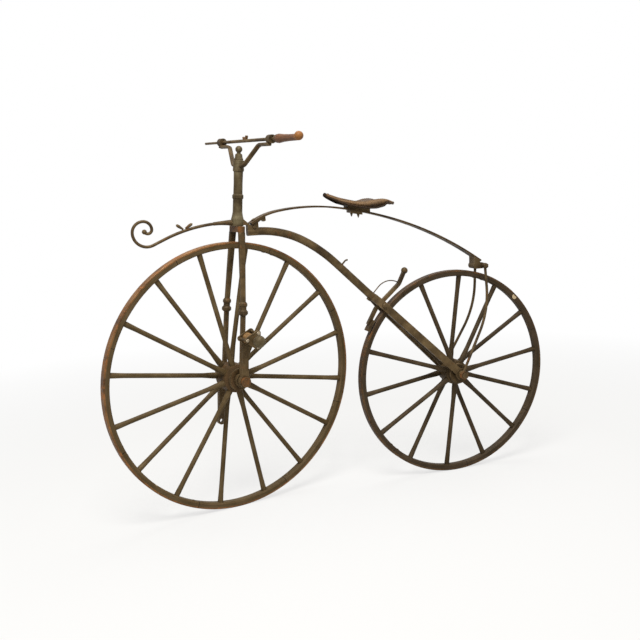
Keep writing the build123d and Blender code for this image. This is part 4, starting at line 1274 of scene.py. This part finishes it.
@dataclass
class Cranks(SubAssembly):
    """Front axle, cranks and the left pedal."""

    crank_mm: float = 148.0
    crank_out_mm: float = 92.0
    crank_lean: float = 0.6
    plate_face_mm: float = 59.5
    rod_ring_mm: float = 26.0
    corners: tuple[float, ...] = (90.0, 210.0, 330.0)
    nut_mm: Profile = ((-1.5, 6.4), (2.4, 6.4), (3.2, 5.4), (3.2, 4.0), (4.4, 3.6))

    def pedal_nuts(self) -> None:
        """Rod ends riveted over the plates of the pedal, rubbed bright."""
        lean = math.radians(self.crank_lean)
        pin = Vector((math.cos(lean), math.sin(lean), 0)) * self.crank_mm
        places = []
        for corner in self.corners:
            turn = math.radians(corner)
            spot = pin + Vector((math.cos(turn), math.sin(turn), 0)) * self.rod_ring_mm
            spot.z = self.crank_out_mm + self.plate_face_mm
            places.append(front_hub() @ facing(spot * MM, Vector((0, 0, 1))))
        nuts = repeat(turned_piece(self.nut_mm, sides=6), places)
        enlist(nuts, "pedal_rod_nuts", Body.LEFT_PEDAL, self.materials.bright)

    def make(self) -> None:
        """Dresses the drive and adds the rod ends of the pedal."""
        self.dress(self.materials.iron, "crank_left", "crank_right", "left_pedal_pin", "left_pedal_plates")
        self.dress(self.materials.rusty, "front_axle", "front_axle_nuts")
        self.dress(self.materials.pedal_wood, "left_pedal_roll")
        self.dress(self.materials.head_iron, "left_pedal_knob")
        self.pedal_nuts()


@dataclass
class Studio:
    """Pale floor, soft light and the camera."""

    camera_at: Point = (1.2638, 2.9317, 0.1082)
    look: Point = (-0.34777, -0.92383, -0.15991)
    up: Point = (-0.09553, -0.13533, 0.98618)
    lens_mm: float = 51.2
    sensor_mm: float = 36.0
    floor_half: float = 30.0
    floor_tone: str = "#d9d7d2"
    white: str = "#ffffff"
    fade_span: Span = (1.2, 3.2)
    fade_share: Span = (0.7, 1.0)
    sky_tone: str = "#fbf8f2"
    sky_strength: float = 0.27
    aim: Point = (0.1, 0.0, -0.45)
    key_at: Point = (1.3, 2.0, 3.0)
    over_at: Point = (-0.6, -0.8, 3.0)

    def floor(self) -> None:
        """Pale floor that fades to white with distance and keeps a shadow."""
        clear_selection()
        bpy.ops.mesh.primitive_plane_add(size=self.floor_half * 2, location=(0, 0, GROUND_Z))
        plane = bpy.context.object
        plane.name = "floor"
        material = bpy.data.materials.new("studio_floor")
        material.use_nodes = True
        tree = material.node_tree
        tree.nodes.clear()
        lit = add_node(tree, "BsdfDiffuse", {"Color": linear(self.floor_tone)})
        pale = add_node(tree, "Emission", {"Color": linear(self.white), "Strength": 1.0})
        path = add_node(tree, "LightPath")
        seen = add_node(
            tree, "Math", {0: path.outputs["Is Camera Ray"], 1: path.outputs["Is Glossy Ray"]},
            operation="MAXIMUM",
        )
        place = add_node(tree, "TexCoord")
        away = add_node(tree, "VectorMath", {0: place.outputs["Object"]}, operation="LENGTH")
        fade = add_node(
            tree, "MapRange",
            {
                "Value": away.outputs["Value"],
                "From Min": self.fade_span[0],
                "From Max": self.fade_span[1],
                "To Min": self.fade_share[0],
                "To Max": self.fade_share[1],
            },
        )
        share = add_node(tree, "Math", {0: seen.outputs[0], 1: fade.outputs[0]}, operation="MULTIPLY")
        both = add_node(tree, "MixShader", {0: share.outputs[0], 1: lit.outputs[0], 2: pale.outputs[0]})
        add_node(tree, "OutputMaterial", {"Surface": both.outputs[0]})
        plane.data.materials.append(material)

    def sky(self) -> None:
        """White surround that lights the object plainly."""
        world = bpy.data.worlds.new("studio")
        bpy.context.scene.world = world
        world.use_nodes = True
        tree = world.node_tree
        tree.nodes.clear()
        light = add_node(
            tree, "Background", {"Color": linear(self.sky_tone), "Strength": self.sky_strength},
        )
        seen = add_node(tree, "Background", {"Color": linear(self.white), "Strength": 1.0})
        path = add_node(tree, "LightPath")
        shown = add_node(
            tree, "Math", {0: path.outputs["Is Camera Ray"], 1: path.outputs["Is Transmission Ray"]},
            operation="MAXIMUM",
        )
        clear = add_node(
            tree, "Math", {0: shown.outputs[0], 1: path.outputs["Is Glossy Ray"]}, operation="MAXIMUM",
        )
        both = add_node(tree, "MixShader", {0: clear.outputs[0], 1: light.outputs[0], 2: seen.outputs[0]})
        add_node(tree, "OutputWorld", {"Surface": both.outputs[0]})

    def lamp(self, name: str, at: Point, size: float, power: float) -> None:
        """Adds a soft square lamp that faces the object.

        Args:
            name: Plain name.
            at: Where it stands.
            size: Side of the square.
            power: Watts.
        """
        data = bpy.data.lights.new(name, "AREA")
        data.size = size
        data.energy = power
        lamp = bpy.data.objects.new(name, data)
        bpy.context.scene.collection.objects.link(lamp)
        lamp.location = at
        lamp.rotation_mode = "QUATERNION"
        lamp.rotation_quaternion = (Vector(self.aim) - Vector(at)).to_track_quat("-Z", "Y")

    def camera(self) -> None:
        """Camera at the viewing angle of the photograph."""
        data = bpy.data.cameras.new("photo_camera")
        data.lens = self.lens_mm
        data.sensor_width = self.sensor_mm
        camera = bpy.data.objects.new("photo_camera", data)
        bpy.context.scene.collection.objects.link(camera)
        back = -Vector(self.look).normalized()
        right = Vector(self.up).cross(back).normalized()
        over = back.cross(right)
        turn = Matrix((right, over, back)).transposed().to_4x4()
        camera.matrix_world = Matrix.Translation(Vector(self.camera_at)) @ turn
        bpy.context.scene.camera = camera

    def make(self) -> None:
        """Sets the whole stage."""
        bpy.context.scene.view_settings.view_transform = "Standard"
        self.floor()
        self.sky()
        self.lamp("key", self.key_at, size=1.8, power=195.0)
        self.lamp("over", self.over_at, size=2.6, power=60.0)
        self.camera()
        log.info("stage set")


def main() -> None:
    """Builds the sub-assemblies in order."""
    logging.basicConfig(level=logging.INFO, format="%(name)s: %(message)s")
    clear_selection()
    Studio().make()
    materials = shared_materials()
    assemblies: list[SubAssembly] = [
        Wheel(
            materials, side="front", hub=front_hub(), body=Body.FRONT_WHEEL, radius=0.457, spokes=16,
            spoke_turn=17.65, paint=FRONT_PAINT, chip_at=(0.7743, 0.0669, -0.874), chip_mm=7.0,
        ),
        Wheel(
            materials, side="rear", hub=rear_hub(), body=Body.REAR_WHEEL, radius=0.378, spokes=14,
            spoke_turn=20.4, paint=REAR_PAINT, chip_at=(-0.6212, 0.0135, -0.3832), chip_mm=8.5,
        ),
        Steering(materials),
        Backbone(materials),
        Cranks(materials),
        Saddle(materials),
    ]
    for assembly in assemblies:
        assembly.make()


if __name__ == "__main__":
    main()
